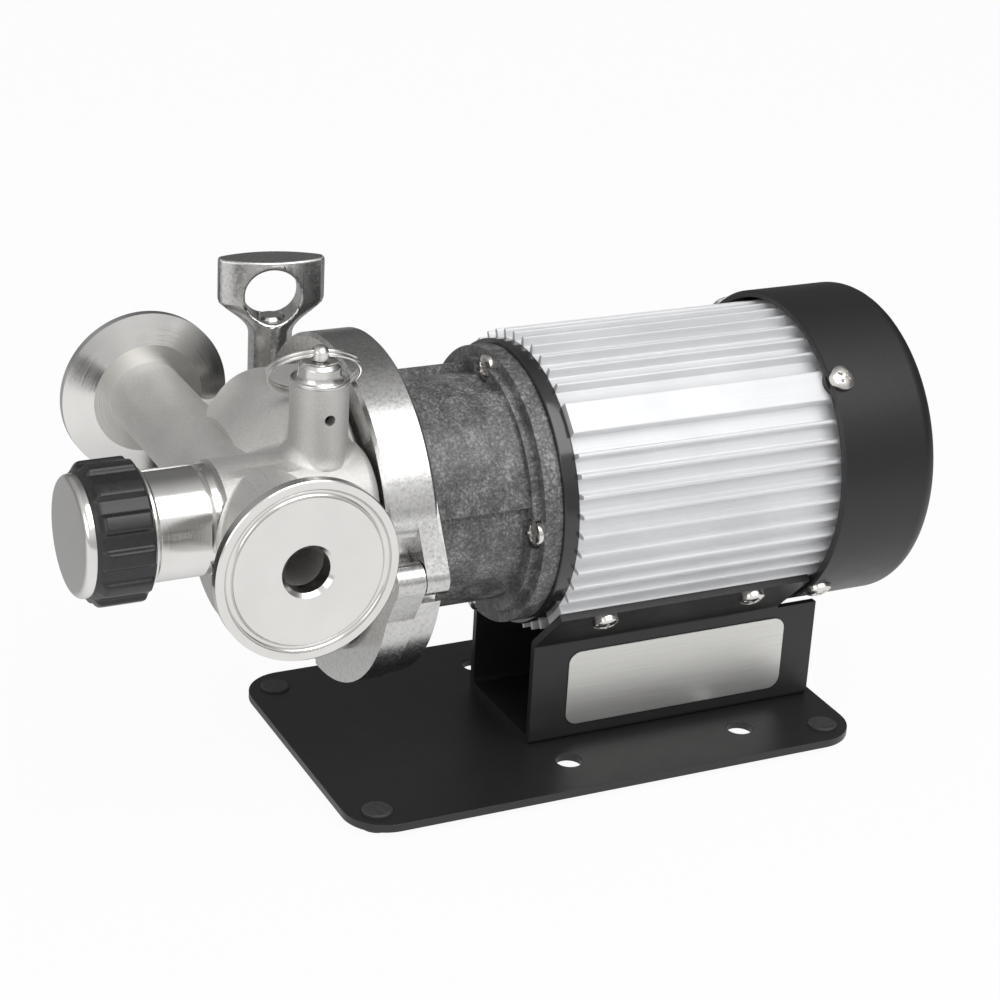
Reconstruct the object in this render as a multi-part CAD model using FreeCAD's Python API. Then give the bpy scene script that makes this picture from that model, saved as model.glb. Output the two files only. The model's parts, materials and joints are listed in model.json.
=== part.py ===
import FreeCAD, Part
import math
import os

# Magnetic-drive brewing pump with a stainless head, a flow valve and a finned motor on a steel stand.
# Row frame, millimetres: the origin is the centre of the four mounting holes on the underside of the
# base plate, +X runs along the shaft from the pump head to the rear of the motor, +Z is up.
# Everything that sits on the shaft is modelled in the pump frame, whose origin is the point of the
# shaft axis in the middle of the head clamp, and is moved into the row frame at the end.

V = FreeCAD.Vector
X = V(1, 0, 0)
Y = V(0, 1, 0)
Z = V(0, 0, 1)

# Where the pump frame lies in the row frame
CLAMP_X = -90.6
SHAFT_HEIGHT = 81.0

# Clearances
RUNNING = 0.05
ASSEMBLY = 0.3
SCREW_CLEARANCE = 0.2

# Base plate and rubber feet
PLATE_LENGTH = 168.0
PLATE_WIDTH = 99.0
PLATE_THICK = 2.5
PLATE_CORNER = 13.0
PLATE_FRONT = -104.0
HOLE_PITCH_X = 59.0
HOLE_PITCH_Y = 66.0
HOLE_DIAMETER = 8.0
FOOT_INSET = 9.2
FOOT_HEAD_DIAMETER = 9.0
FOOT_HEAD_THICK = 0.8
FOOT_STEM_DIAMETER = 5.0
FOOT_PAD_DIAMETER = 9.5
FOOT_PAD_THICK = 2.0

# Pedestal: one folded sheet with a web on the plate, two walls and two flanges at 45 degrees
SHEET = 2.2
BEND_RADIUS = 1.6
PEDESTAL_FRONT = -37.0
PEDESTAL_LENGTH = 97.9
PEDESTAL_WIDTH = 41.6
FLANGE_RISE = 4.7
FLANGE_STOP = 1.0
WALL_TOP_DROP = 0.6
NAMEPLATE_LENGTH = 75.0
NAMEPLATE_FOOT = 4.8
NAMEPLATE_HEAD = 3.9
NAMEPLATE_THICK = 0.5
NAMEPLATE_CORNER = 4.0
NAMEPLATE_X = 12.3
STAND_SCREW_X = 3.9
STAND_SCREW_PITCH = 49.6

# Pan-head screws
SCREW_HEAD_RADIUS = 3.9
SCREW_HEAD_HEIGHT = 2.5
SCREW_CROWN = 1.6
SCREW_RADIUS = 2.0
SCREW_LENGTH = 6.5

# Clamp joint between the head and the adapter: two 77.5 mm ferrules with 20 degree backs
FERRULE_RADIUS = 38.75
RIM_THICK = 2.85
TAPER = math.tan(math.radians(20))
NECK_RADIUS = 33.0
GASKET_THICK = 1.6
GASKET_INNER = 29.5
GASKET_OUTER = 38.2

# Head clamp
CLAMP_RADIUS = 50.0
CLAMP_REACH = 2 * CLAMP_RADIUS
CLAMP_WIDTH = 15.2
CLAMP_LIP_RADIUS = 34.0
CLAMP_LIP_SETBACK = 0.6
CLAMP_FACE_RADIUS = 41.0
CLAMP_EDGE = 1.0
CLAMP_SPLIT = 1.0
GROOVE_GAP = 0.4
LUG_ROOT = 44.0
HINGE_Y = -51.5
HINGE_Z = -1.0
HINGE_LAP = 0.7
KNUCKLE_RADIUS = 4.9
TONGUE_FOOT = -14.1
TONGUE_ROOT = 42.0
RAMP_ANGLE = 31.0
RAMP_TOP = 20.0
RAMP_LEDGE = 13.0
HINGE_ROOT = 10.4
RIB_RADIUS = 50.2
RIB_SHIFT = 1.2
HIP_SHIFT_Y = 1.9
HIP_SHIFT_Z = 1.5
HIP_TOP = -9.0
CLAMP_PIN_RADIUS = 2.5
BOLT_Y = 61.0
BOLT_PIN_Z = -9.0
LUG_REACH = 5.5
LUG_DEPTH = 6.5
LUG_ROUND = 5.0
EAR_TOP = 8.0
EYE_RADIUS = 5.5
EYE_WIDTH = 9.0
BOLT_RADIUS = 4.0
BOLT_END = 36.5
WING_TOP = 54.7
WING_WIDTH = 32.0
WING_THICK = 11.7
WING_END_THICK = 4.0
WING_SIDE = 13.3
WING_HOLE_RADIUS = 8.35
WING_HOLE_Z = 43.7
WING_STEM_RADIUS = 6.6
WING_STEM_TOP = 31.0
WING_STEM_CORNER = 30.0
WING_END_BULGE = 0.5
WING_THROAT = ((0.0, 0.0), (0.2, 0.06), (0.45, 0.28), (0.72, 0.66), (1.0, 1.0))
WING_TURN = -12.0

# Pump head casting
VOLUTE_BACK = 8.6
VOLUTE_RADIUS = 41.3
DOME_START = 21.0
DOME_ROUND = 12.0
DOME_FRONT = 38.0
CHAMBER_RADIUS = 31.0
CHAMBER_DEPTH = 17.0
EYE_HOLE_RADIUS = 9.0
EYE_HOLE_DEPTH = 4.0
PASSAGE_RADIUS = 7.0
PASSAGE_START = 2.0
PASSAGE_END_Y = 4.0
THROAT_RADIUS = 4.0
THROAT_INSET = 3.0
THROAT_START = 0.7

# Ports: 50.5 mm ferrules on one line across the pump, 12.7 mm bore
PORT_X = -39.8
PORT_RISE = 16.0
PORT_BORE = 6.35
PORT_CHAMFER = 1.1
PORT_RADIUS = 25.25
PORT_SHOULDER = 16.6
PORT_GROOVE_RADIUS = 21.75
PORT_GROOVE = 1.2
INLET_FACE = 62.5
INLET_TUBE_RADIUS = 11.2
OUTLET_FACE = -71.3
OUTLET_STUB_RADIUS = 15.0

# Flow valve, on an axis parallel to the shaft
VALVE_Y = -31.0
VALVE_RADIUS = 15.8
VALVE_ROUND = 3.0
VALVE_MOUTH = -51.7
SEAT_X = -24.0
SEAT_RADIUS = 6.35
SEAT_END = -11.0
VALVE_BORE = 9.5
SHANK_RADIUS = 12.0
SHANK_LENGTH = 4.2
BONNET_RADIUS = 15.0
BONNET_NECK_RADIUS = 13.4
BONNET_NECK_LENGTH = 5.1
BONNET_END = -71.0
BONNET_WALL = 5.0
BONNET_ROOM = 1.2
CLIP_WIDTH = 1.8
CLIP_HEIGHT = 1.7
CLIP_GAP_ANGLE = 24.0
PLUG_LIFT = 5.45
PLUG_CONE = 4.5
PLUG_LAND = 0.5
PLUG_NECK = 2.0
PLUG_STEM_RADIUS = 6.0
PISTON_FRONT = -49.0
PISTON_LENGTH = 9.0
KEY_WIDTH = 2.0
KEY_HEIGHT = 1.2
KEY_LENGTH = 1.6
SEAL_RADIUS = 1.0
SEAL_FRONT = 1.9
SEAL_PITCH = 3.4
SEAL_ROOM = 0.1
SCREW_STEM_RADIUS = 4.0
SCREW_STEM_END = -43.0
THREAD_BOTTOM = -36.0
COLLAR_RADIUS = 8.0
COLLAR_THICK = 2.0
KNOB_GAP = 0.6
KNOB_RADIUS = 16.5
KNOB_LENGTH = 19.4
KNOB_WALL = 2.6
KNOB_HUB_RADIUS = 7.5
KNOB_ROUND = 2.0
GRIP_LENGTH = 14.6
GRIP_RADIUS = 18.0
GRIP_RIBS = 12
GRIP_RIB_HEIGHT = 1.4
GRIP_RIB_WIDTH = 5.6

# Air bleed valve on top of the valve body
BLEED_X = -21.6
BLEED_BOSS_RADIUS = 8.0
BLEED_BOSS_TOP = 51.5
BOSS_FLARE = 1.2
BLEED_ORIFICE = 2.2
BLEED_SEAT_Z = 31.0
BLEED_CHAMBER = 4.4
BLEED_VENT_RADIUS = 1.5
BLEED_VENT_Z = 43.0
BLEED_DISC_RADIUS = 8.1
BLEED_DISC_THICK = 1.3
BLEED_CAP_RADIUS = 5.9
BLEED_CAP_HEIGHT = 5.5
BLEED_CAP_CHAMFER = 1.1
BLEED_CAP_PLUG = 6.0
BLEED_STEM_RADIUS = 1.6
BLEED_HEAD_RADIUS = 2.4
BLEED_HEAD_HEIGHT = 4.4
BLEED_HEAD_CROWN = 1.6
BLEED_HEAD_GAP = 0.2
BLEED_POPPET_RADIUS = 3.6
BLEED_POPPET_THICK = 2.0
BLEED_SEAL_THICK = 0.8
BLEED_LIFT = 2.5
SPRING_WIRE = 0.4
SPRING_RADIUS = 3.1
SPRING_TURNS = 5
RING_RADIUS = 12.6
RING_WIRE = 0.6
RING_SPACING = 1.15
RING_HOLE_RADIUS = 1.45
RING_TILT = 45.0
RING_TURN = -11.0

# Impeller, isolation can and magnetic coupling
IMPELLER_RADIUS = 28.0
IMPELLER_BACK = -1.0
SHROUD_THICK = 2.2
VANE_HEIGHT = 7.0
VANE_COUNT = 6
VANE_THICK = 2.0
IMPELLER_EYE = 10.0
SPINDLE_RADIUS = 4.0
SPINDLE_HEAD_RADIUS = 6.0
SPINDLE_HEAD_THICK = 1.4
HUB_RADIUS = 9.0
WASHER_THICK = 1.2
WASHER_RADIUS = 7.5
MAGNET_RADIUS = 21.0
MAGNET_START = 4.0
MAGNET_LENGTH = 27.0
CAN_INNER = 22.0
CAN_WALL = 1.5
CAN_FLANGE_RADIUS = 30.9
CAN_FLANGE_THICK = 2.8
CAN_LENGTH = 35.0
CAN_SOCKET_RADIUS = 7.0
CAN_SOCKET_LENGTH = 2.4
DRIVE_GAP = 0.8
DRIVE_WALL = 3.5
DRIVE_START = 9.0
DRIVE_END = 41.0
DRIVE_DISC = 3.0
DRIVE_HUB_RADIUS = 9.0
DRIVE_HUB_LENGTH = 5.0

# Adapter between the head and the motor
ADAPTER_BODY_RADIUS = 33.6
ADAPTER_BORE = 28.8
ADAPTER_FLANGE_FRONT = 43.96
ADAPTER_FLANGE_RADIUS = 41.0
ADAPTER_END = 49.33
COLLAR_STEP_RADIUS = 38.0
COLLAR_STEP_LENGTH = 2.6
PAD_RADIUS = 36.4
PAD_START_ANGLE = 12.0
PAD_END_ANGLE = 70.0
TAB_RADIUS = 37.4
TAB_END = 16.0
TAB_CORNER = 2.4
TAB_START_ANGLE = 12.0
TAB_END_ANGLE = 37.0
ADAPTER_SCREW_CIRCLE = 36.6
ADAPTER_SCREW_DEPTH = 11.0
ADAPTER_POCKET_RADIUS = 4.4

# Motor
SHIELD_RADIUS = 42.4
SHIELD_THICK = 4.8
SPIGOT_LENGTH = 4.0
HOUSING_END = 146.0
HOUSING_BORE = 38.0
FIN_ROOT_RADIUS = 41.8
FIN_TIP_RADIUS = 44.8
FIN_PITCH = 23.0 / 3.0
FINS_EACH_SIDE = 4
FIN_TIP_WIDTH = 1.3
FIN_ROOT_WIDTH = 2.0
LAND_DISTANCE = 44.6
LAND_HALF_WIDTH = 4.9
TAP_SPARE = 0.5
BEARING_RADIUS = 13.0
BEARING_WIDTH = 8.0
SHAFT_RADIUS = 5.0
SHAFT_FRONT = 36.0
BEARING_SEAT_WALL = 3.5
SEAT_FLOOR = 2.0
STACK_START = 76.0
STACK_LENGTH = 44.0
STATOR_INNER = 21.0
AIR_GAP = 0.5
WINDING_INNER = 23.0
WINDING_OUTER = 36.0
WINDING_LENGTH = 10.0
WINDING_ROUND = 3.0
REAR_SHIELD_THICK = 3.5
CAP_OVERLAP = 7.45
CAP_LENGTH = 33.95
CAP_RADIUS = 48.0
CAP_WALL = 2.0
CAP_ROUND = 6.0
CAP_SCREW_INSET = 3.95
CAP_PAD_RADIUS = 4.6
CAP_LIP = 0.6
GLAND_Z = -27.0
GLAND_RADIUS = 8.0
GLAND_LENGTH = 9.0
GLAND_BORE = 3.6
GLAND_NUT_THICK = 3.0
CAPACITOR_RADIUS = 11.0
CAPACITOR_LENGTH = 36.0
CAPACITOR_Z = 24.0

# Stations of the rear cap
CAP_FRONT = HOUSING_END - CAP_OVERLAP
CAP_BACK = CAP_FRONT + CAP_LENGTH
CAP_SCREW_X = CAP_FRONT + CAP_SCREW_INSET


# Shared shapes

def outline(start, *steps):
    """Closed face in the XY plane; a step is an end point, or a (middle, end) pair for an arc."""
    first = V(start[0], start[1], 0)
    here = first
    edges = []
    for step in steps:
        if isinstance(step[0], tuple):
            middle = V(step[0][0], step[0][1], 0)
            end = V(step[1][0], step[1][1], 0)
            edges.append(Part.Arc(here, middle, end).toShape())
        else:
            end = V(step[0], step[1], 0)
            edges.append(Part.makeLine(here, end))
        here = end
    if (here - first).Length > 1e-6:
        edges.append(Part.makeLine(here, first))
    return Part.Face(Part.Wire(edges))


def turned(start, *steps, base=V(0, 0, 0), direction=X):
    """Solid of revolution: points are (distance along the axis, radius)."""
    solid = outline(start, *steps).revolve(V(0, 0, 0), X, 360)
    solid.Placement = FreeCAD.Placement(base, FreeCAD.Rotation(X, direction))
    return solid


def rod(radius, start, end):
    """Cylinder between two points."""
    span = end - start
    return Part.makeCylinder(radius, span.Length, start, span)


def tube(outer, inner, start, end):
    return rod(outer, start, end).cut(rod(inner, start, end))


def along_x(radius, x0, x1, y=0.0, z=0.0):
    return rod(radius, V(x0, y, z), V(x1, y, z))


def ring_x(outer, inner, x0, x1):
    return tube(outer, inner, V(x0, 0, 0), V(x1, 0, 0))


def block(x0, x1, y0, y1, z0, z1):
    return Part.makeBox(x1 - x0, y1 - y0, z1 - z0, V(x0, y0, z0))


def fused(shapes):
    return shapes[0].multiFuse(shapes[1:]).removeSplitter()


def rounded(shape, radius, chosen):
    """Fillet the edges that the test function accepts."""
    return shape.makeFillet(radius, [edge for edge in shape.Edges if chosen(edge)])


def extruded(points, direction):
    """Prism from corner points that lie in one plane."""
    corners = [V(*point) for point in points]
    return Part.Face(Part.makePolygon(corners + corners[:1])).extrude(direction)


def rounded_plate(length, width, thick, corner, centre):
    """Plate in the XY plane with round corners; its lower face is centred on a point."""
    plate = block(-length / 2, length / 2, -width / 2, width / 2, 0, thick)
    plate = rounded(plate, corner, lambda edge: abs(edge.tangentAt(edge.FirstParameter).z) > 0.99)
    plate.translate(centre)
    return plate


def sector(outer, inner, x0, x1, angle0, angle1):
    """Part of a ring about the shaft; angles are degrees up from the -Y side."""
    face = outline((x0, inner), (x0, outer), (x1, outer), (x1, inner))
    swept = face.revolve(V(0, 0, 0), X, -(angle1 - angle0))
    swept.rotate(V(0, 0, 0), X, 180 - angle0)
    return swept


def crown(foot, foot_radius, top):
    """Steps of an outline that closes a turned end with a spherical crown."""
    height = top - foot
    radius = (height ** 2 + foot_radius ** 2) / (2 * height)
    half_angle = math.asin(foot_radius / radius) / 2
    middle = (top - radius * (1 - math.cos(half_angle)), radius * math.sin(half_angle))
    return (middle, (top, 0))


def pan_screw(seat, direction, length=SCREW_LENGTH):
    """Pan-head screw; the seat is the point under the head, the direction points out of the head."""
    edge = SCREW_HEAD_HEIGHT - SCREW_CROWN
    return turned((-length, 0), (-length, SCREW_RADIUS), (0, SCREW_RADIUS), (0, SCREW_HEAD_RADIUS),
                  (edge, SCREW_HEAD_RADIUS), crown(edge, SCREW_HEAD_RADIUS, SCREW_HEAD_HEIGHT),
                  base=seat, direction=direction)


def screw_hole(seat, direction, radius, depth):
    """Round hole that runs in from the seat of a screw."""
    return rod(radius, seat + direction * SCREW_HEAD_HEIGHT, seat - direction * depth)


def radial(angle):
    """Unit vector from the shaft; degrees up from the -Y side."""
    return V(0, -math.cos(math.radians(angle)), math.sin(math.radians(angle)))


def up_to_row(shape):
    """Move a shape from the pump frame into the row frame."""
    moved = shape.copy()
    moved.translate(V(CLAMP_X, 0, SHAFT_HEIGHT))
    return moved


# Stand, in the row frame

def foot_places():
    places = []
    for x in (PLATE_FRONT + FOOT_INSET, PLATE_FRONT + PLATE_LENGTH - FOOT_INSET):
        for side in (-1, 1):
            places.append(V(x, side * (PLATE_WIDTH / 2 - FOOT_INSET), 0))
    return places


def base_plate():
    centre = V(PLATE_FRONT + PLATE_LENGTH / 2, 0, 0)
    plate = rounded_plate(PLATE_LENGTH, PLATE_WIDTH, PLATE_THICK, PLATE_CORNER, centre)
    top = V(0, 0, PLATE_THICK)
    holes = []
    for x in (-HOLE_PITCH_X / 2, HOLE_PITCH_X / 2):
        for y in (-HOLE_PITCH_Y / 2, HOLE_PITCH_Y / 2):
            holes.append(rod(HOLE_DIAMETER / 2, V(x, y, 0), V(x, y, 0) + top))
    for place in foot_places():
        holes.append(rod(FOOT_STEM_DIAMETER / 2, place, place + top))
    return plate.cut(holes)


def rubber_feet():
    """Push-in feet: a thin button on the plate, a stem through it and a pad below."""
    crown = PLATE_THICK + FOOT_HEAD_THICK
    feet = []
    for place in foot_places():
        feet.append(turned((-FOOT_PAD_THICK, 0), (-FOOT_PAD_THICK, FOOT_PAD_DIAMETER / 2),
                           (0, FOOT_PAD_DIAMETER / 2), (0, FOOT_STEM_DIAMETER / 2),
                           (PLATE_THICK, FOOT_STEM_DIAMETER / 2), (PLATE_THICK, FOOT_HEAD_DIAMETER / 2),
                           (crown - 0.3, FOOT_HEAD_DIAMETER / 2), (crown, FOOT_HEAD_DIAMETER / 2 - 0.5),
                           (crown, 0), base=place, direction=Z))
    return Part.makeCompound(feet)


def wall_bend():
    """Height of the bend between a wall and its flange, on the outside."""
    return SHAFT_HEIGHT + PEDESTAL_WIDTH / 2 - (LAND_DISTANCE + SHEET) * math.sqrt(2)


def pedestal():
    """Folded sheet: the flanges lie on the two lower lands of the motor housing."""
    diagonal = math.sqrt(2)
    half = PEDESTAL_WIDTH / 2
    inner = half - SHEET
    plane_out = (LAND_DISTANCE + SHEET) * diagonal
    plane_in = LAND_DISTANCE * diagonal
    tip = FLANGE_RISE / diagonal
    right = [(half, PLATE_THICK),
             (half, wall_bend()),
             (plane_out / 2 + tip, SHAFT_HEIGHT - plane_out / 2 + tip),
             (plane_in / 2 + tip, SHAFT_HEIGHT - plane_in / 2 + tip),
             (inner, SHAFT_HEIGHT + inner - plane_in),
             (inner, PLATE_THICK + SHEET)]
    left = [(-y, z) for y, z in reversed(right)]
    corners = [(PEDESTAL_FRONT, y, z) for y, z in right + left]
    sheet = extruded(corners, V(PEDESTAL_LENGTH, 0, 0))

    def is_bend(edge):
        place = edge.CenterOfMass
        return edge.Length > PEDESTAL_LENGTH - 1 and abs(place.y) < half + 0.1
    sheet = rounded(sheet, BEND_RADIUS, is_bend)
    wall_top = wall_bend() - WALL_TOP_DROP
    flange_end = CLAMP_X + CAP_FRONT - FLANGE_STOP
    sheet = sheet.cut(block(flange_end, PEDESTAL_FRONT + PEDESTAL_LENGTH + 1, -PLATE_WIDTH, PLATE_WIDTH,
                            wall_top, SHAFT_HEIGHT))
    holes = [screw_hole(seat, way, SCREW_RADIUS + SCREW_CLEARANCE, SHEET) for seat, way in stand_screws()]
    return sheet.cut(holes)


def stand_screws():
    """Seat and direction of the four radial screws that hold the motor, in the row frame."""
    places = []
    for x in (STAND_SCREW_X - STAND_SCREW_PITCH / 2, STAND_SCREW_X + STAND_SCREW_PITCH / 2):
        for angle in (-45, -135):
            seat = V(x, 0, SHAFT_HEIGHT) + radial(angle) * (LAND_DISTANCE + SHEET)
            places.append((seat, radial(angle)))
    return places


def pedestal_screws():
    return Part.makeCompound([pan_screw(seat, way) for seat, way in stand_screws()])


def nameplate():
    """Bare metal plate on the wall at the -Y side, between the foot and the bend of the wall."""
    low = PLATE_THICK + NAMEPLATE_FOOT
    high = wall_bend() - NAMEPLATE_HEAD
    plate = rounded_plate(NAMEPLATE_LENGTH, high - low, NAMEPLATE_THICK, NAMEPLATE_CORNER, V(0, 0, 0))
    plate.rotate(V(0, 0, 0), X, 90)
    plate.translate(V(NAMEPLATE_X, -PEDESTAL_WIDTH / 2, (low + high) / 2))
    return plate


# Motor

def motor_housing():
    """Extruded aluminium barrel: thin fins, and four flat lands that take the screws."""
    start = ADAPTER_END + SHIELD_THICK
    corners = []
    for quarter in range(4):
        for step in range(-FINS_EACH_SIDE, FINS_EACH_SIDE + 1):
            angle = 90 * quarter + step * FIN_PITCH
            for radius, width in ((FIN_ROOT_RADIUS, -FIN_ROOT_WIDTH), (FIN_TIP_RADIUS, -FIN_TIP_WIDTH),
                                  (FIN_TIP_RADIUS, FIN_TIP_WIDTH), (FIN_ROOT_RADIUS, FIN_ROOT_WIDTH)):
                corners.append(radial(angle) * radius + radial(angle + 90) * (width / 2))
        middle = 90 * (quarter + 0.5)
        foot = math.sqrt(FIN_ROOT_RADIUS ** 2 - LAND_HALF_WIDTH ** 2)
        for distance, side in ((foot, -1), (LAND_DISTANCE, -1), (LAND_DISTANCE, 1), (foot, 1)):
            corners.append(radial(middle) * distance + radial(middle + 90) * (side * LAND_HALF_WIDTH))
    barrel = extruded([(start, corner.y, corner.z) for corner in corners], V(HOUSING_END - start, 0, 0))
    barrel = barrel.cut(along_x(HOUSING_BORE, start, HOUSING_END))
    holes = []
    for seat, way in stand_screws():
        seat = seat - V(CLAMP_X, 0, SHAFT_HEIGHT)
        holes.append(screw_hole(seat, way, SCREW_RADIUS, SCREW_LENGTH + TAP_SPARE))
    for seat, way in cap_screw_places():
        holes.append(screw_hole(seat, way, SCREW_RADIUS, SCREW_LENGTH + TAP_SPARE))
    return barrel.cut(holes)


def front_shield():
    """Black end shield between the adapter and the barrel, with the front bearing seat."""
    front = ADAPTER_END
    back = front + SHIELD_THICK
    spigot = HOUSING_BORE - RUNNING
    seat = front + SEAT_FLOOR
    hub = BEARING_RADIUS + BEARING_SEAT_WALL
    return turned((front, SHAFT_RADIUS + 1), (front, SHIELD_RADIUS), (back, SHIELD_RADIUS), (back, spigot),
                  (back + SPIGOT_LENGTH, spigot), (back + SPIGOT_LENGTH, spigot - 2), (back, spigot - 2),
                  (back, hub), (seat + BEARING_WIDTH, hub), (seat + BEARING_WIDTH, BEARING_RADIUS),
                  (seat, BEARING_RADIUS), (seat, SHAFT_RADIUS + 1))


def rear_shield():
    """End shield at the rear of the barrel, under the cap."""
    front = HOUSING_END
    back = front + REAR_SHIELD_THICK
    spigot = HOUSING_BORE - RUNNING
    seat = back - SEAT_FLOOR
    hub = BEARING_RADIUS + BEARING_SEAT_WALL
    return turned((seat - BEARING_WIDTH, BEARING_RADIUS), (seat - BEARING_WIDTH, hub), (front, hub),
                  (front, spigot - 2), (front - SPIGOT_LENGTH, spigot - 2), (front - SPIGOT_LENGTH, spigot),
                  (front, spigot), (front, FIN_ROOT_RADIUS), (back, FIN_ROOT_RADIUS), (back, 0),
                  (seat, 0), (seat, BEARING_RADIUS))


def bearing(start):
    """Deep-groove bearing shown as one ring with its shields set in."""
    end = start + BEARING_WIDTH
    set_in = 0.6
    inner = SHAFT_RADIUS + 2.5
    outer = BEARING_RADIUS - 2.5
    return turned((start, SHAFT_RADIUS), (start, inner), (start + set_in, inner), (start + set_in, outer),
                  (start, outer), (start, BEARING_RADIUS), (end, BEARING_RADIUS), (end, outer),
                  (end - set_in, outer), (end - set_in, inner), (end, inner), (end, SHAFT_RADIUS))


def front_bearing():
    return bearing(ADAPTER_END + SEAT_FLOOR)


def rear_bearing():
    return bearing(HOUSING_END + REAR_SHIELD_THICK - SEAT_FLOOR - BEARING_WIDTH)


def stator_core():
    return ring_x(HOUSING_BORE, STATOR_INNER, STACK_START, STACK_START + STACK_LENGTH)


def stator_windings():
    """The two rings of end turns."""
    coils = []
    for start in (STACK_START - WINDING_LENGTH, STACK_START + STACK_LENGTH):
        coil = ring_x(WINDING_OUTER, WINDING_INNER, start, start + WINDING_LENGTH)
        coils.append(rounded(coil, WINDING_ROUND, lambda edge: edge.Length > 6 * WINDING_INNER))
    return Part.makeCompound(coils)


def rotor_core():
    return ring_x(STATOR_INNER - AIR_GAP, SHAFT_RADIUS, STACK_START, STACK_START + STACK_LENGTH)


def motor_shaft():
    back = HOUSING_END + REAR_SHIELD_THICK - SEAT_FLOOR - ASSEMBLY
    shaft = along_x(SHAFT_RADIUS - RUNNING / 5, SHAFT_FRONT, back)
    return shaft


def cap_screw_places():
    """Seat and direction of the four radial screws that hold the rear cap."""
    seats = []
    for angle in (45, 135, 225, 315):
        seats.append((V(CAP_SCREW_X, 0, 0) + radial(angle) * (CAP_RADIUS - 0.4), radial(angle)))
    return seats


def rear_cap():
    """Drawn cup over the rear shield; four inner pads sit on the lands."""
    inner = CAP_RADIUS - CAP_WALL
    floor = CAP_BACK - CAP_WALL
    bow = math.sqrt(0.5)
    outer_mid = (CAP_BACK - CAP_ROUND * (1 - bow), CAP_RADIUS - CAP_ROUND * (1 - bow))
    inner_round = CAP_ROUND - CAP_WALL
    inner_mid = (floor - inner_round * (1 - bow), inner - inner_round * (1 - bow))
    cup = turned((CAP_FRONT, inner), (CAP_FRONT, CAP_RADIUS - CAP_LIP), (CAP_FRONT + CAP_LIP, CAP_RADIUS),
                 (CAP_BACK - CAP_ROUND, CAP_RADIUS), (outer_mid, (CAP_BACK, CAP_RADIUS - CAP_ROUND)),
                 (CAP_BACK, 0), (floor, 0), (floor, inner - inner_round),
                 (inner_mid, (floor - inner_round, inner)))
    pads = []
    for seat, way in cap_screw_places():
        centre = V(seat.x, 0, 0)
        pads.append(rod(CAP_PAD_RADIUS, centre + way * LAND_DISTANCE, centre + way * (inner + 0.5)))
    cup = fused([cup] + pads)
    holes = [screw_hole(seat, way, SCREW_RADIUS, SCREW_LENGTH) for seat, way in cap_screw_places()]
    flats = [rod(SCREW_HEAD_RADIUS + SCREW_CLEARANCE, seat, seat + way) for seat, way in cap_screw_places()]
    gland_hole = along_x(GLAND_RADIUS - 2, floor - 1, CAP_BACK + 1, 0, GLAND_Z)
    return cup.cut(holes + flats + [gland_hole])


def cap_screws():
    return Part.makeCompound([pan_screw(seat, way) for seat, way in cap_screw_places()])


def cord_gland():
    """Strain relief for the power cord in the rear face of the cap."""
    floor = CAP_BACK - CAP_WALL
    base = V(0, 0, GLAND_Z)
    return turned((floor - GLAND_NUT_THICK, GLAND_BORE), (floor - GLAND_NUT_THICK, GLAND_RADIUS),
                  (floor, GLAND_RADIUS), (floor, GLAND_RADIUS - 2), (CAP_BACK, GLAND_RADIUS - 2),
                  (CAP_BACK, GLAND_RADIUS), (CAP_BACK + 0.4 * GLAND_LENGTH, GLAND_RADIUS),
                  (CAP_BACK + GLAND_LENGTH, GLAND_RADIUS - 2.5), (CAP_BACK + GLAND_LENGTH, GLAND_BORE),
                  base=base)


def run_capacitor():
    """Motor capacitor, lying across the space behind the rear shield."""
    middle = HOUSING_END + REAR_SHIELD_THICK + CAPACITOR_RADIUS
    half = CAPACITOR_LENGTH / 2
    can = rod(CAPACITOR_RADIUS - 1, V(middle, -half, CAPACITOR_Z), V(middle, half, CAPACITOR_Z))
    cradle = block(HOUSING_END + REAR_SHIELD_THICK, middle, -half + 2, half - 2,
                   CAPACITOR_Z - CAPACITOR_RADIUS, CAPACITOR_Z + CAPACITOR_RADIUS)
    return fused([can, cradle])


# Adapter and magnetic drive

def adapter_screw_places():
    flange = V(ADAPTER_FLANGE_FRONT, 0, 0)
    return [flange + radial(angle) * ADAPTER_SCREW_CIRCLE for angle in (0, 90, 180, 270)]


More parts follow.
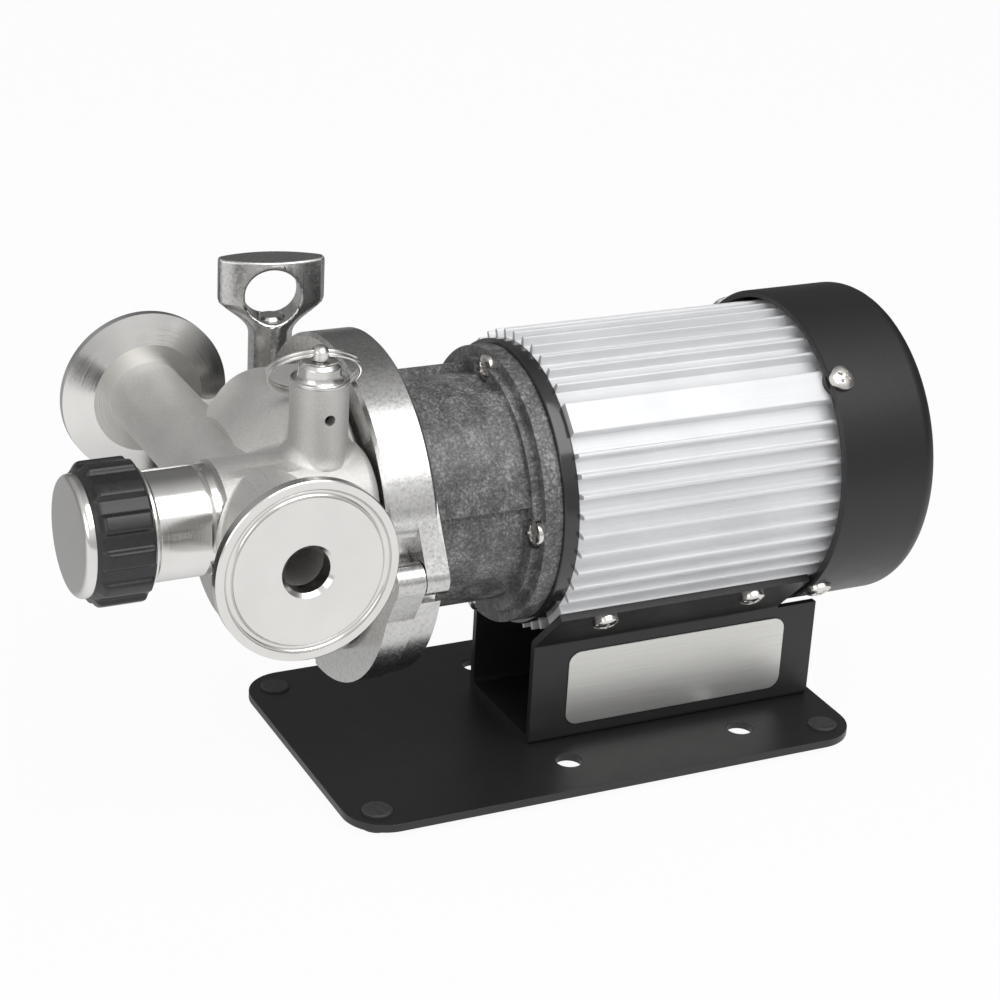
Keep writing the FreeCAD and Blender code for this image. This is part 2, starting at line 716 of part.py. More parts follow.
def adapter():
    """Moulded lantern: a clamp ferrule in front, a screwed flange behind."""
    face = GASKET_THICK / 2
    rim = face + RIM_THICK
    neck = rim + (FERRULE_RADIUS - NECK_RADIUS) * TAPER
    recess = face + CAN_FLANGE_THICK
    body = turned((face, CAN_FLANGE_RADIUS), (face, FERRULE_RADIUS), (rim, FERRULE_RADIUS),
                  (neck, NECK_RADIUS), (VOLUTE_BACK, NECK_RADIUS), (VOLUTE_BACK, ADAPTER_BODY_RADIUS),
                  (ADAPTER_FLANGE_FRONT, ADAPTER_BODY_RADIUS), (ADAPTER_FLANGE_FRONT, ADAPTER_FLANGE_RADIUS),
                  (ADAPTER_END, ADAPTER_FLANGE_RADIUS), (ADAPTER_END, ADAPTER_BORE),
                  (recess, ADAPTER_BORE), (recess, CAN_FLANGE_RADIUS))
    step_start = ADAPTER_FLANGE_FRONT - COLLAR_STEP_LENGTH
    inside = ADAPTER_BODY_RADIUS - 1
    pads = [ring_x(COLLAR_STEP_RADIUS, inside, step_start, ADAPTER_FLANGE_FRONT)]
    for start, end in ((PAD_START_ANGLE, PAD_END_ANGLE), (180 - PAD_END_ANGLE, 180 - PAD_START_ANGLE)):
        pads.append(sector(PAD_RADIUS, inside, VOLUTE_BACK, ADAPTER_FLANGE_FRONT, start, end))
    for start, end in ((TAB_START_ANGLE, TAB_END_ANGLE), (180 - TAB_END_ANGLE, 180 - TAB_START_ANGLE)):
        tab = sector(TAB_RADIUS, inside, VOLUTE_BACK, TAB_END, start, end)
        pads.append(rounded(tab, TAB_CORNER, lambda edge: edge.CenterOfMass.x > TAB_END - 0.1
                            and edge.Length < TAB_RADIUS - inside + 0.1))
    body = fused([body] + pads)
    cuts = []
    for place in adapter_screw_places():
        cuts.append(rod(ADAPTER_POCKET_RADIUS, V(step_start - 1, place.y, place.z), place))
        cuts.append(rod(SCREW_RADIUS, place, V(ADAPTER_END, place.y, place.z)))
    return body.cut(cuts)


def adapter_screws():
    back = ADAPTER_END - ADAPTER_FLANGE_FRONT - 0.2
    return Part.makeCompound([pan_screw(place, X * -1, back) for place in adapter_screw_places()])


def isolation_can():
    """Closed cup that keeps the liquid away from the motor, with the spindle socket in its floor."""
    face = GASKET_THICK / 2
    outer = CAN_INNER + CAN_WALL
    end = face + CAN_LENGTH
    floor = end - CAN_WALL
    return turned((face, CAN_INNER), (face, CAN_FLANGE_RADIUS), (face + CAN_FLANGE_THICK, CAN_FLANGE_RADIUS),
                  (face + CAN_FLANGE_THICK, outer), (end, outer), (end, 0), (floor, 0),
                  (floor, SPINDLE_RADIUS), (floor - CAN_SOCKET_LENGTH, SPINDLE_RADIUS),
                  (floor - CAN_SOCKET_LENGTH, CAN_SOCKET_RADIUS), (floor, CAN_SOCKET_RADIUS),
                  (floor, CAN_INNER))


def hub_end():
    """Rear end of the impeller hub, in front of the rear thrust washer."""
    socket = GASKET_THICK / 2 + CAN_LENGTH - CAN_WALL - CAN_SOCKET_LENGTH
    return socket - WASHER_THICK - ASSEMBLY


def hub_front():
    return IMPELLER_BACK - 2 * SHROUD_THICK - VANE_HEIGHT


def impeller():
    """Closed impeller with backward-curved vanes on a long hub."""
    back = IMPELLER_BACK
    vane_back = back - SHROUD_THICK
    vane_front = vane_back - VANE_HEIGHT
    bore = SPINDLE_RADIUS + RUNNING
    hub = ring_x(HUB_RADIUS, bore, vane_front, hub_end())
    rear = ring_x(IMPELLER_RADIUS, bore, vane_back, back)
    front = ring_x(IMPELLER_RADIUS, IMPELLER_EYE, hub_front(), vane_front)
    nose = ring_x(HUB_RADIUS - 2, bore, hub_front(), vane_front)
    vanes = []
    bow = 0.62 * IMPELLER_RADIUS
    centre_y = 0.5 * IMPELLER_RADIUS
    centre_z = 0.32 * IMPELLER_RADIUS
    disc = along_x(IMPELLER_RADIUS, vane_front, vane_back)
    core = along_x(HUB_RADIUS - 0.5, vane_front, vane_back)
    half_space = block(vane_front, vane_back, 0, IMPELLER_RADIUS, -IMPELLER_RADIUS, centre_z)
    arc = along_x(bow, vane_front, vane_back, centre_y, centre_z)
    arc = arc.cut(along_x(bow - VANE_THICK, vane_front, vane_back, centre_y, centre_z))
    vane = arc.common(half_space).common(disc).cut(core)
    vane = max(vane.Solids, key=lambda solid: solid.Volume)
    for number in range(VANE_COUNT):
        copy = vane.copy()
        copy.rotate(V(0, 0, 0), X, 360 * number / VANE_COUNT)
        vanes.append(copy)
    return fused([hub, rear, front, nose] + vanes)


def driven_magnet():
    return ring_x(MAGNET_RADIUS, HUB_RADIUS, MAGNET_START, MAGNET_START + MAGNET_LENGTH)


def spindle():
    """Fixed ceramic spindle with a head that keeps the front washer on."""
    back = GASKET_THICK / 2 + CAN_LENGTH - CAN_WALL
    head_back = hub_front() - WASHER_THICK - 2 * ASSEMBLY
    head_front = head_back - SPINDLE_HEAD_THICK
    return turned((head_front, 0), (head_front, SPINDLE_HEAD_RADIUS), (head_back, SPINDLE_HEAD_RADIUS),
                  (head_back, SPINDLE_RADIUS), (back, SPINDLE_RADIUS), (back, 0))


def thrust_washers():
    bore = SPINDLE_RADIUS
    socket = GASKET_THICK / 2 + CAN_LENGTH - CAN_WALL - CAN_SOCKET_LENGTH
    front = hub_front() - ASSEMBLY
    return Part.makeCompound([ring_x(WASHER_RADIUS, bore, front - WASHER_THICK, front),
                              ring_x(WASHER_RADIUS, bore, socket - WASHER_THICK, socket)])


def drive_magnet():
    """Magnet cup on the motor shaft, turning round the can."""
    inner = CAN_INNER + CAN_WALL + DRIVE_GAP
    outer = inner + DRIVE_WALL
    disc = DRIVE_END - DRIVE_DISC
    return turned((DRIVE_START, inner), (DRIVE_START, outer), (DRIVE_END, outer),
                  (DRIVE_END, DRIVE_HUB_RADIUS), (DRIVE_END + DRIVE_HUB_LENGTH, DRIVE_HUB_RADIUS),
                  (DRIVE_END + DRIVE_HUB_LENGTH, SHAFT_RADIUS), (disc, SHAFT_RADIUS), (disc, inner))


# Pump head

def on_port(y):
    return V(PORT_X, y, PORT_RISE)


def on_valve(x):
    return V(x, VALVE_Y, PORT_RISE)


def port_depth():
    """Length of a port ferrule from its face to its shoulder."""
    return RIM_THICK + (PORT_RADIUS - PORT_SHOULDER) * TAPER


def pump_head():
    """Investment casting: ferrule, domed volute, inlet tube, valve body, outlet stub and bleed boss."""
    face = -GASKET_THICK / 2
    rim = face - RIM_THICK
    neck = rim - (FERRULE_RADIUS - NECK_RADIUS) * TAPER
    bow = DOME_ROUND * math.sqrt(0.5)
    arc_mid = (-DOME_START - DOME_ROUND * math.sin(math.radians(22.5)),
               VOLUTE_RADIUS - DOME_ROUND * (1 - math.cos(math.radians(22.5))))
    arc_end = (-DOME_START - bow, VOLUTE_RADIUS - DOME_ROUND + bow)
    cone_end = (-DOME_FRONT, arc_end[1] - (DOME_FRONT + arc_end[0]))
    body = turned((face, 0), (face, FERRULE_RADIUS), (rim, FERRULE_RADIUS), (neck, NECK_RADIUS),
                  (-VOLUTE_BACK, NECK_RADIUS), (-VOLUTE_BACK, VOLUTE_RADIUS - 1),
                  (-VOLUTE_BACK - 1, VOLUTE_RADIUS), (-DOME_START, VOLUTE_RADIUS),
                  (arc_mid, arc_end), cone_end, (-DOME_FRONT, 0))
    inlet = rod(INLET_TUBE_RADIUS, on_port(VALVE_Y), on_port(INLET_FACE - port_depth()))
    valve = rod(VALVE_RADIUS, on_valve(-VOLUTE_BACK), on_valve(VALVE_MOUTH))
    valve = rounded(valve, VALVE_ROUND, lambda edge: edge.Length > 50 and edge.CenterOfMass.x > SEAT_X)
    stub = rod(OUTLET_STUB_RADIUS, on_port(VALVE_Y), on_port(OUTLET_FACE + port_depth()))
    foot = PORT_RISE + VALVE_RADIUS
    boss = turned((PORT_RISE, 0), (PORT_RISE, BLEED_BOSS_RADIUS + BOSS_FLARE),
                  (foot - 2 * BOSS_FLARE, BLEED_BOSS_RADIUS + BOSS_FLARE),
                  ((foot - BOSS_FLARE / 2, BLEED_BOSS_RADIUS + BOSS_FLARE / 3),
                   (foot + BOSS_FLARE, BLEED_BOSS_RADIUS)),
                  (BLEED_BOSS_TOP, BLEED_BOSS_RADIUS), (BLEED_BOSS_TOP, 0),
                  base=V(BLEED_X, VALVE_Y, 0), direction=Z)
    casting = fused([body, inlet, valve, stub, boss])
    return casting.cut(head_passages())


def head_passages():
    """Everything that is hollow in the casting."""
    bend = V(PORT_X, PASSAGE_END_Y, PORT_RISE)
    shank_seat = VALVE_MOUTH + SHANK_LENGTH
    throat_x = -CHAMBER_DEPTH + THROAT_INSET
    throat_start = V(throat_x, THROAT_START * VALVE_Y, THROAT_START * PORT_RISE)
    throat_end = V(throat_x, VALVE_Y, PORT_RISE)
    return [along_x(CHAMBER_RADIUS, -CHAMBER_DEPTH, 0),
            along_x(EYE_HOLE_RADIUS, -CHAMBER_DEPTH - EYE_HOLE_DEPTH, -CHAMBER_DEPTH),
            rod(PASSAGE_RADIUS, V(-CHAMBER_DEPTH - PASSAGE_START, 0, 0), bend),
            Part.makeSphere(PASSAGE_RADIUS, bend),
            rod(PORT_BORE, bend, on_port(INLET_FACE)),
            rod(THROAT_RADIUS, throat_start, throat_end),
            rod(SEAT_RADIUS, on_valve(SEAT_END), on_valve(SEAT_X)),
            rod(VALVE_BORE, on_valve(SEAT_X), on_valve(VALVE_MOUTH)),
            rod(SHANK_RADIUS, on_valve(shank_seat), on_valve(VALVE_MOUTH)),
            rod(BONNET_RADIUS + BONNET_ROOM, on_valve(VALVE_MOUTH), on_valve(BONNET_END)),
            rod(PORT_BORE, on_port(VALVE_Y), on_port(OUTLET_FACE)),
            rod(BLEED_ORIFICE, V(BLEED_X, VALVE_Y, PORT_RISE), V(BLEED_X, VALVE_Y, BLEED_SEAT_Z)),
            rod(BLEED_CHAMBER, V(BLEED_X, VALVE_Y, BLEED_SEAT_Z), V(BLEED_X, VALVE_Y, BLEED_BOSS_TOP)),
            rod(BLEED_VENT_RADIUS, V(BLEED_X, VALVE_Y, BLEED_VENT_Z),
                V(BLEED_X, VALVE_Y - BLEED_BOSS_RADIUS - 1, BLEED_VENT_Z))]


def port_ferrule(face_y, direction):
    """50.5 mm ferrule: flat face with a gasket groove, tapered back and a shoulder on the tube."""
    depth = port_depth()
    groove = PORT_GROOVE
    return turned((0, PORT_BORE + PORT_CHAMFER), (0, PORT_GROOVE_RADIUS - groove),
                  ((-groove, PORT_GROOVE_RADIUS), (0, PORT_GROOVE_RADIUS + groove)),
                  (0, PORT_RADIUS - 0.3), (-0.3, PORT_RADIUS), (-RIM_THICK, PORT_RADIUS),
                  (-depth, PORT_SHOULDER), (-depth, PORT_BORE), (-PORT_CHAMFER, PORT_BORE),
                  base=on_port(face_y), direction=direction)


def inlet_ferrule():
    return port_ferrule(INLET_FACE, Y)


def outlet_ferrule():
    return port_ferrule(OUTLET_FACE, Y * -1)


def head_gasket():
    return ring_x(GASKET_OUTER, GASKET_INNER, -GASKET_THICK / 2, GASKET_THICK / 2)


# Flow valve

def o_ring(centre_radius, section, x):
    ring = Part.makeTorus(centre_radius, section, on_valve(x), X)
    return ring


def neck_start():
    """Station of the step between the bonnet's barrel and its neck."""
    return VALVE_MOUTH - BONNET_NECK_LENGTH


def valve_bonnet():
    """Turned cartridge that carries the spindle; its shank sits in the valve body."""
    end = BONNET_END
    bore_end = end + BONNET_WALL
    shank = SHANK_RADIUS - RUNNING
    tip = VALVE_MOUTH + SHANK_LENGTH
    groove_mid = (tip + VALVE_MOUTH) / 2
    groove_floor = shank - 1.6
    body = turned((end, SCREW_STEM_RADIUS + 0.5 + RUNNING), (end, BONNET_RADIUS - 0.5),
                  (end + 0.5, BONNET_RADIUS), (neck_start(), BONNET_RADIUS),
                  (neck_start(), BONNET_NECK_RADIUS), (VALVE_MOUTH, BONNET_NECK_RADIUS),
                  (VALVE_MOUTH, shank),
                  (groove_mid - 0.9, shank), (groove_mid - 0.9, groove_floor),
                  (groove_mid + 0.9, groove_floor), (groove_mid + 0.9, shank), (tip, shank),
                  (tip, VALVE_BORE), (bore_end, VALVE_BORE), (bore_end, SCREW_STEM_RADIUS + 0.5 + RUNNING),
                  base=on_valve(0))
    key_half = (KEY_WIDTH + ASSEMBLY) / 2
    keyway = block(bore_end, tip, VALVE_Y - key_half, VALVE_Y + key_half, PORT_RISE,
                   PORT_RISE + VALVE_BORE + KEY_HEIGHT)
    return body.cut(keyway)


def bonnet_seal():
    section = 0.8
    return o_ring(SHANK_RADIUS - RUNNING - section, section, VALVE_MOUTH + SHANK_LENGTH / 2)


def bonnet_clip():
    """Open spring ring round the neck of the bonnet."""
    middle = neck_start() + BONNET_NECK_LENGTH / 2
    start = middle - CLIP_WIDTH / 2
    face = outline((start, BONNET_NECK_RADIUS), (start, BONNET_NECK_RADIUS + CLIP_HEIGHT),
                   (start + CLIP_WIDTH, BONNET_NECK_RADIUS + CLIP_HEIGHT),
                   (start + CLIP_WIDTH, BONNET_NECK_RADIUS))
    clip = face.revolve(V(0, 0, 0), X, 360 - CLIP_GAP_ANGLE)
    clip.rotate(V(0, 0, 0), X, 180 + 30 + CLIP_GAP_ANGLE / 2)
    clip.translate(on_valve(0))
    return clip


def valve_plug():
    """Sliding plug: 45 degree nose, stem, and a keyed piston with two seal grooves."""
    radius = VALVE_BORE - RUNNING
    tip = SEAT_X - PLUG_LIFT + PLUG_CONE / 2
    nose_small = SEAT_RADIUS - PLUG_CONE / 2
    nose_large = SEAT_RADIUS + PLUG_CONE / 2
    front = PISTON_FRONT
    back = PISTON_FRONT - PISTON_LENGTH
    floor = radius - 2 * SEAL_RADIUS
    steps = [(tip, nose_small), (tip - PLUG_CONE, nose_large),
             (tip - PLUG_CONE - PLUG_LAND, nose_large),
             (tip - PLUG_CONE - PLUG_LAND - PLUG_NECK, PLUG_STEM_RADIUS), (front, PLUG_STEM_RADIUS),
             (front, radius)]
    for x in seal_places():
        reach = SEAL_RADIUS + SEAL_ROOM
        steps += [(x + reach, radius), (x + reach, floor), (x - reach, floor), (x - reach, radius)]
    steps += [(back, radius), (back, 0)]
    body = turned((tip, 0), *steps, base=on_valve(0))
    key = block(back, back + KEY_LENGTH, VALVE_Y - KEY_WIDTH / 2, VALVE_Y + KEY_WIDTH / 2,
                PORT_RISE + VALVE_BORE - 2, PORT_RISE + VALVE_BORE + KEY_HEIGHT - ASSEMBLY)
    thread = rod(SCREW_STEM_RADIUS + RUNNING, on_valve(back), on_valve(THREAD_BOTTOM))
    return fused([body, key]).cut(thread)


def seal_places():
    first = PISTON_FRONT - SEAL_FRONT
    return [first, first - SEAL_PITCH]


def plug_seals():
    rings = [o_ring(VALVE_BORE - RUNNING - SEAL_RADIUS, SEAL_RADIUS, x) for x in seal_places()]
    return Part.makeCompound(rings)


def valve_spindle():
    """Screw that drives the plug; its collar bears on the inside of the bonnet."""
    journal = SCREW_STEM_RADIUS + 0.5
    inside = BONNET_END + BONNET_WALL + ASSEMBLY
    back = BONNET_END - KNOB_GAP - KNOB_LENGTH + 3.0
    return turned((back, 0), (back, journal), (inside, journal), (inside, COLLAR_RADIUS),
                  (inside + COLLAR_THICK, COLLAR_RADIUS), (inside + COLLAR_THICK, SCREW_STEM_RADIUS),
                  (SCREW_STEM_END, SCREW_STEM_RADIUS), (SCREW_STEM_END, 0), base=on_valve(0))


def valve_knob():
    """Hollow turned knob with a hub on the spindle."""
    mouth = BONNET_END - KNOB_GAP
    face = mouth - KNOB_LENGTH
    floor = face + 3.0
    bow = KNOB_ROUND * (1 - math.sqrt(0.5))
    journal = SCREW_STEM_RADIUS + 0.5
    return turned((face, 0), (face, KNOB_RADIUS - KNOB_ROUND),
                  ((face + bow, KNOB_RADIUS - bow), (face + KNOB_ROUND, KNOB_RADIUS)), (mouth, KNOB_RADIUS),
                  (mouth, KNOB_RADIUS - KNOB_WALL), (floor, KNOB_RADIUS - KNOB_WALL),
                  (floor, KNOB_HUB_RADIUS), (mouth, KNOB_HUB_RADIUS), (mouth, journal), (floor, journal),
                  (floor, 0), base=on_valve(0))


def knob_grip():
    """Rubber sleeve with raised ribs."""
    mouth = BONNET_END - KNOB_GAP
    start = mouth - GRIP_LENGTH
    edge = 1.0
    sleeve = turned((start, KNOB_RADIUS), (start, GRIP_RADIUS - edge), (start + edge, GRIP_RADIUS),
                    (mouth - edge, GRIP_RADIUS), (mouth, GRIP_RADIUS - edge), (mouth, KNOB_RADIUS),
                    base=on_valve(0))
    crest = GRIP_RADIUS + GRIP_RIB_HEIGHT
    half = GRIP_RIB_WIDTH / 2
    taper = 0.9
    ribs = []
    rib = extruded([(start + 0.4, -half, KNOB_RADIUS + 0.5), (start + 0.4, half, KNOB_RADIUS + 0.5),
                    (start + 0.4, half, GRIP_RADIUS), (start + 0.4, half - taper, crest),
                    (start + 0.4, -half + taper, crest), (start + 0.4, -half, GRIP_RADIUS)],
                   V(GRIP_LENGTH - 0.8, 0, 0))
    for number in range(GRIP_RIBS):
        copy = rib.copy()
        copy.rotate(V(0, 0, 0), X, 360 * number / GRIP_RIBS)
        copy.translate(on_valve(0))
        ribs.append(copy)
    return fused([sleeve] + ribs)


# Air bleed valve

def on_bleed(z):
    return V(BLEED_X, VALVE_Y, z)


def bleed_cap():
    """Cap screwed into the boss; the pull pin slides through it."""
    top = BLEED_BOSS_TOP
    hole = BLEED_STEM_RADIUS + RUNNING
    plug = BLEED_CHAMBER - RUNNING
    end = top + BLEED_CAP_HEIGHT
    return turned((top - BLEED_CAP_PLUG, hole), (top - BLEED_CAP_PLUG, plug), (top, plug),
                  (top, BLEED_DISC_RADIUS), (top + BLEED_DISC_THICK, BLEED_DISC_RADIUS),
                  (top + BLEED_DISC_THICK, BLEED_CAP_RADIUS), (end - BLEED_CAP_CHAMFER, BLEED_CAP_RADIUS),
                  (end, BLEED_CAP_RADIUS - BLEED_CAP_CHAMFER), (end, hole),
                  base=on_bleed(0), direction=Z)


def poppet_base():
    return BLEED_SEAT_Z + BLEED_SEAL_THICK


def ring_pivot():
    """Middle of the cross hole that carries the pull ring."""
    return on_bleed(BLEED_BOSS_TOP + BLEED_CAP_HEIGHT + BLEED_HEAD_GAP + 0.5 * BLEED_HEAD_HEIGHT)


def bleed_pin():
    """Pull pin: a poppet below, a stem through the cap and a round head with the ring's hole."""
    low = poppet_base()
    head = BLEED_BOSS_TOP + BLEED_CAP_HEIGHT + BLEED_HEAD_GAP
    top = head + BLEED_HEAD_HEIGHT
    pin = turned((low, 0), (low, BLEED_POPPET_RADIUS), (low + BLEED_POPPET_THICK, BLEED_POPPET_RADIUS),
                 (low + BLEED_POPPET_THICK, BLEED_STEM_RADIUS), (head, BLEED_STEM_RADIUS),
                 (head, BLEED_HEAD_RADIUS - 0.5), (head + 0.5, BLEED_HEAD_RADIUS),
                 (top - BLEED_HEAD_CROWN, BLEED_HEAD_RADIUS),
                 crown(top - BLEED_HEAD_CROWN, BLEED_HEAD_RADIUS, top), base=on_bleed(0), direction=Z)
    reach = ring_axis() * (BLEED_HEAD_RADIUS + 1)
    return pin.cut(rod(RING_HOLE_RADIUS, ring_pivot() - reach, ring_pivot() + reach))


def bleed_seal():
    return rod(BLEED_POPPET_RADIUS - 0.4, on_bleed(BLEED_SEAT_Z), on_bleed(poppet_base()))


def bleed_spring():
    """Coil spring between the poppet and the cap, as stacked turns joined by a seam."""
    low = poppet_base() + BLEED_POPPET_THICK
    high = BLEED_BOSS_TOP - BLEED_CAP_PLUG
    pitch = (high - low - 2 * SPRING_WIRE) / SPRING_TURNS
    helix = Part.makeHelix(pitch, pitch * SPRING_TURNS, SPRING_RADIUS)
    section = Part.Wire(Part.makeCircle(SPRING_WIRE, V(SPRING_RADIUS, 0, 0), Y))
    coil = Part.Wire(helix).makePipeShell([section], True, True)
    coil.translate(on_bleed(low + SPRING_WIRE))
    return coil


def ring_axis():
    """Direction of the cross hole: level, square to the way the ring hangs."""
    turn = math.radians(RING_TURN)
    return V(math.cos(turn), math.sin(turn), 0)


def pull_ring():
    """Split ring: two coils side by side, hanging behind the bleed valve."""
    coils = []
    for side in (-1, 1):
        coils.append(Part.makeTorus(RING_RADIUS, RING_WIRE, V(0, 0, side * RING_SPACING / 2), Z))
    ring = fused(coils)
    ring.translate(V(0, RING_RADIUS, 0))
    ring.rotate(V(0, 0, 0), X, -RING_TILT)
    ring.rotate(V(0, 0, 0), Z, RING_TURN)
    ring.translate(ring_pivot())
    return ring


# Head clamp

def clamp_ring():
    """Ring with the tapered groove that pulls the two ferrules together."""
    groove = GASKET_THICK / 2 + RIM_THICK + GROOVE_GAP
    floor = FERRULE_RADIUS + GROOVE_GAP
    lip = groove + (floor - CLAMP_LIP_RADIUS) * TAPER
    side = CLAMP_WIDTH / 2
    edge = CLAMP_EDGE
    return turned((-groove, floor), (-lip, CLAMP_LIP_RADIUS), (-side + CLAMP_LIP_SETBACK, CLAMP_LIP_RADIUS),
                  (-side, CLAMP_FACE_RADIUS), (-side, CLAMP_RADIUS - edge), (-side + edge, CLAMP_RADIUS),
                  (side - edge, CLAMP_RADIUS), (side, CLAMP_RADIUS - edge), (side, CLAMP_FACE_RADIUS),
                  (side - CLAMP_LIP_SETBACK, CLAMP_LIP_RADIUS), (lip, CLAMP_LIP_RADIUS), (groove, floor))


def clamp_half(upper):
    """Half of the ring, above or below the split."""
    reach = CLAMP_RADIUS + 1
    low = CLAMP_SPLIT / 2 if upper else -reach
    high = reach if upper else -CLAMP_SPLIT / 2
    return clamp_ring().common(block(-CLAMP_WIDTH, CLAMP_WIDTH, -reach, reach, low, high))


def across(radius, width, y, z):
    """Cylinder across the clamp, centred on its mid-plane."""
    return along_x(radius, -width / 2, width / 2, y, z)


def lug(y0, y1, z0, z1, corner, chosen):
    side = CLAMP_WIDTH / 2
    return rounded(block(-side, side, y0, y1, z0, z1), corner, chosen)


def knuckle_flat(angle, z):
    """Point at a height on the flat that touches the hinge knuckle; the angle is that of its normal."""
    way = radial(angle)
    touch = V(0, HINGE_Y, HINGE_Z) + way * KNUCKLE_RADIUS
    return V(0, touch.y + (touch.z - z) * way.z / way.y, z)


def knuckle(x0, x1):
    return along_x(KNUCKLE_RADIUS, x0, x1, HINGE_Y, HINGE_Z)


def ramp(x0, x1, low):
    """Arm that leaves the ring in a straight ramp and touches the knuckle; cut off below a height."""
    top = knuckle_flat(RAMP_ANGLE, RAMP_TOP)
    touch = V(0, HINGE_Y, HINGE_Z) + radial(RAMP_ANGLE) * KNUCKLE_RADIUS
    arm = extruded([(x0, top.y, top.z), (x0, touch.y, touch.z), (x0, HINGE_Y, HINGE_Z),
                    (x0, -LUG_ROOT, CLAMP_SPLIT / 2), (x0, -LUG_ROOT, RAMP_TOP)], V(x1 - x0, 0, 0))
    return arm.common(block(x0, x1, -CLAMP_REACH, 0, low, CLAMP_REACH))


def clamp_upper():
    """Upper half: hinge cheek on the rear half of its width, slotted ear for the bolt at the +Y side."""
    side = CLAMP_WIDTH / 2
    cheek_front = HINGE_LAP + ASSEMBLY / 2
    cheek = fused([ramp(cheek_front, side, HINGE_Z), knuckle(cheek_front, side)])
    ledge_y = knuckle_flat(RAMP_ANGLE, RAMP_LEDGE).y
    shoulder = ramp(-side, side, HINGE_ROOT)
    shoulder = shoulder.cut(block(-CLAMP_WIDTH, cheek_front, -CLAMP_REACH, ledge_y, 0, RAMP_LEDGE))
    reach = BOLT_Y + LUG_REACH
    pivot_radius = EAR_TOP - BOLT_PIN_Z
    slot_half = BOLT_RADIUS + ASSEMBLY
    bolt_ear = block(-side, side, LUG_ROOT, reach, CLAMP_SPLIT / 2, EAR_TOP)
    crest = block(-CLAMP_WIDTH, CLAMP_WIDTH, BOLT_Y, reach + 1, CLAMP_SPLIT / 2, EAR_TOP + 1)
    crest = crest.cut(across(pivot_radius, 2 * CLAMP_WIDTH, BOLT_Y, BOLT_PIN_Z))
    inside = along_x(FERRULE_RADIUS + GROOVE_GAP, -CLAMP_WIDTH, CLAMP_WIDTH)
    half = fused([clamp_half(True), cheek.cut(inside), shoulder.cut(inside), bolt_ear])
    slot = fused([rod(slot_half, V(0, BOLT_Y, 0), V(0, BOLT_Y, EAR_TOP + 1)),
                  block(-slot_half, slot_half, BOLT_Y, reach + 1, 0, EAR_TOP + 1)])
    room = block(-CLAMP_WIDTH, cheek_front, -CLAMP_REACH, HINGE_Y + KNUCKLE_RADIUS + ASSEMBLY,
                 -CLAMP_REACH, HINGE_ROOT)
    pin = across(CLAMP_PIN_RADIUS, 2 * CLAMP_WIDTH, HINGE_Y, HINGE_Z)
    return half.cut([crest, slot, room, pin])


def clamp_lower():
    """Lower half: hinge knuckle on the front half of its width, forked lug for the bolt's eye."""
    side = CLAMP_WIDTH / 2
    lap = HINGE_LAP - ASSEMBLY / 2
    inside = along_x(FERRULE_RADIUS + GROOVE_GAP, -CLAMP_WIDTH, CLAMP_WIDTH)
    outlet_side = block(-CLAMP_WIDTH, CLAMP_WIDTH, -CLAMP_REACH, 0, -CLAMP_REACH, HINGE_Z)
    rib = along_x(RIB_RADIUS, -side, lap, -RIB_SHIFT).common(outlet_side)
    heel = V(0, HINGE_Y, HINGE_Z) + radial(-RAMP_ANGLE) * KNUCKLE_RADIUS
    foot = knuckle_flat(-RAMP_ANGLE, TONGUE_FOOT)
    tongue = extruded([(-side, heel.y, heel.z), (-side, foot.y, foot.z), (-side, -TONGUE_ROOT, foot.z),
                       (-side, -LUG_ROOT, HINGE_Z), (-side, HINGE_Y, HINGE_Z)], V(lap + side, 0, 0))
    hip = along_x(CLAMP_RADIUS, lap, side, -HIP_SHIFT_Y, HIP_SHIFT_Z)
    hip = hip.common(block(-side, side, -CLAMP_REACH, 0, -CLAMP_REACH, HIP_TOP))
    cheek_room = along_x(KNUCKLE_RADIUS + 2 * ASSEMBLY, lap, side + 1, HINGE_Y, HINGE_Z)
    reach = BOLT_Y + LUG_REACH
    low = BOLT_PIN_Z - LUG_DEPTH
    bolt_lug = lug(LUG_ROOT - 2, reach, low, -CLAMP_SPLIT / 2, LUG_ROUND,
                   lambda edge: edge.CenterOfMass.z < low + 0.1 and edge.CenterOfMass.y > reach - 0.1
                   and edge.Length > CLAMP_WIDTH - 1)
    slot_half = EYE_WIDTH / 2 + ASSEMBLY
    slot = block(-slot_half, slot_half, BOLT_Y - EYE_RADIUS - ASSEMBLY, reach + 1, low - 1, 0)
    outside = fused([knuckle(-side, lap), rib, tongue, hip, bolt_lug]).cut(inside)
    whole = fused([clamp_half(False), outside])
    pins = [across(CLAMP_PIN_RADIUS, 2 * CLAMP_WIDTH, HINGE_Y, HINGE_Z),
            across(CLAMP_PIN_RADIUS, 2 * CLAMP_WIDTH, BOLT_Y, BOLT_PIN_Z)]
    return whole.cut([slot, cheek_room] + pins)


def hinge_pin():
    return across(CLAMP_PIN_RADIUS, CLAMP_WIDTH, HINGE_Y, HINGE_Z)


def bolt_pin():
    return across(CLAMP_PIN_RADIUS, CLAMP_WIDTH, BOLT_Y, BOLT_PIN_Z)


def swing_bolt():
    """Eye bolt that pivots in the lower half's lug."""
    eye = across(EYE_RADIUS, EYE_WIDTH, BOLT_Y, BOLT_PIN_Z)
    shank = turned((BOLT_PIN_Z, 0), (BOLT_PIN_Z, BOLT_RADIUS), (BOLT_END - 0.8, BOLT_RADIUS),
                   (BOLT_END, BOLT_RADIUS - 0.8), (BOLT_END, 0), base=V(0, BOLT_Y, 0), direction=Z)
    hole = across(CLAMP_PIN_RADIUS + RUNNING, 2 * CLAMP_WIDTH, BOLT_Y, BOLT_PIN_Z)
    return fused([eye, shank]).cut(hole)


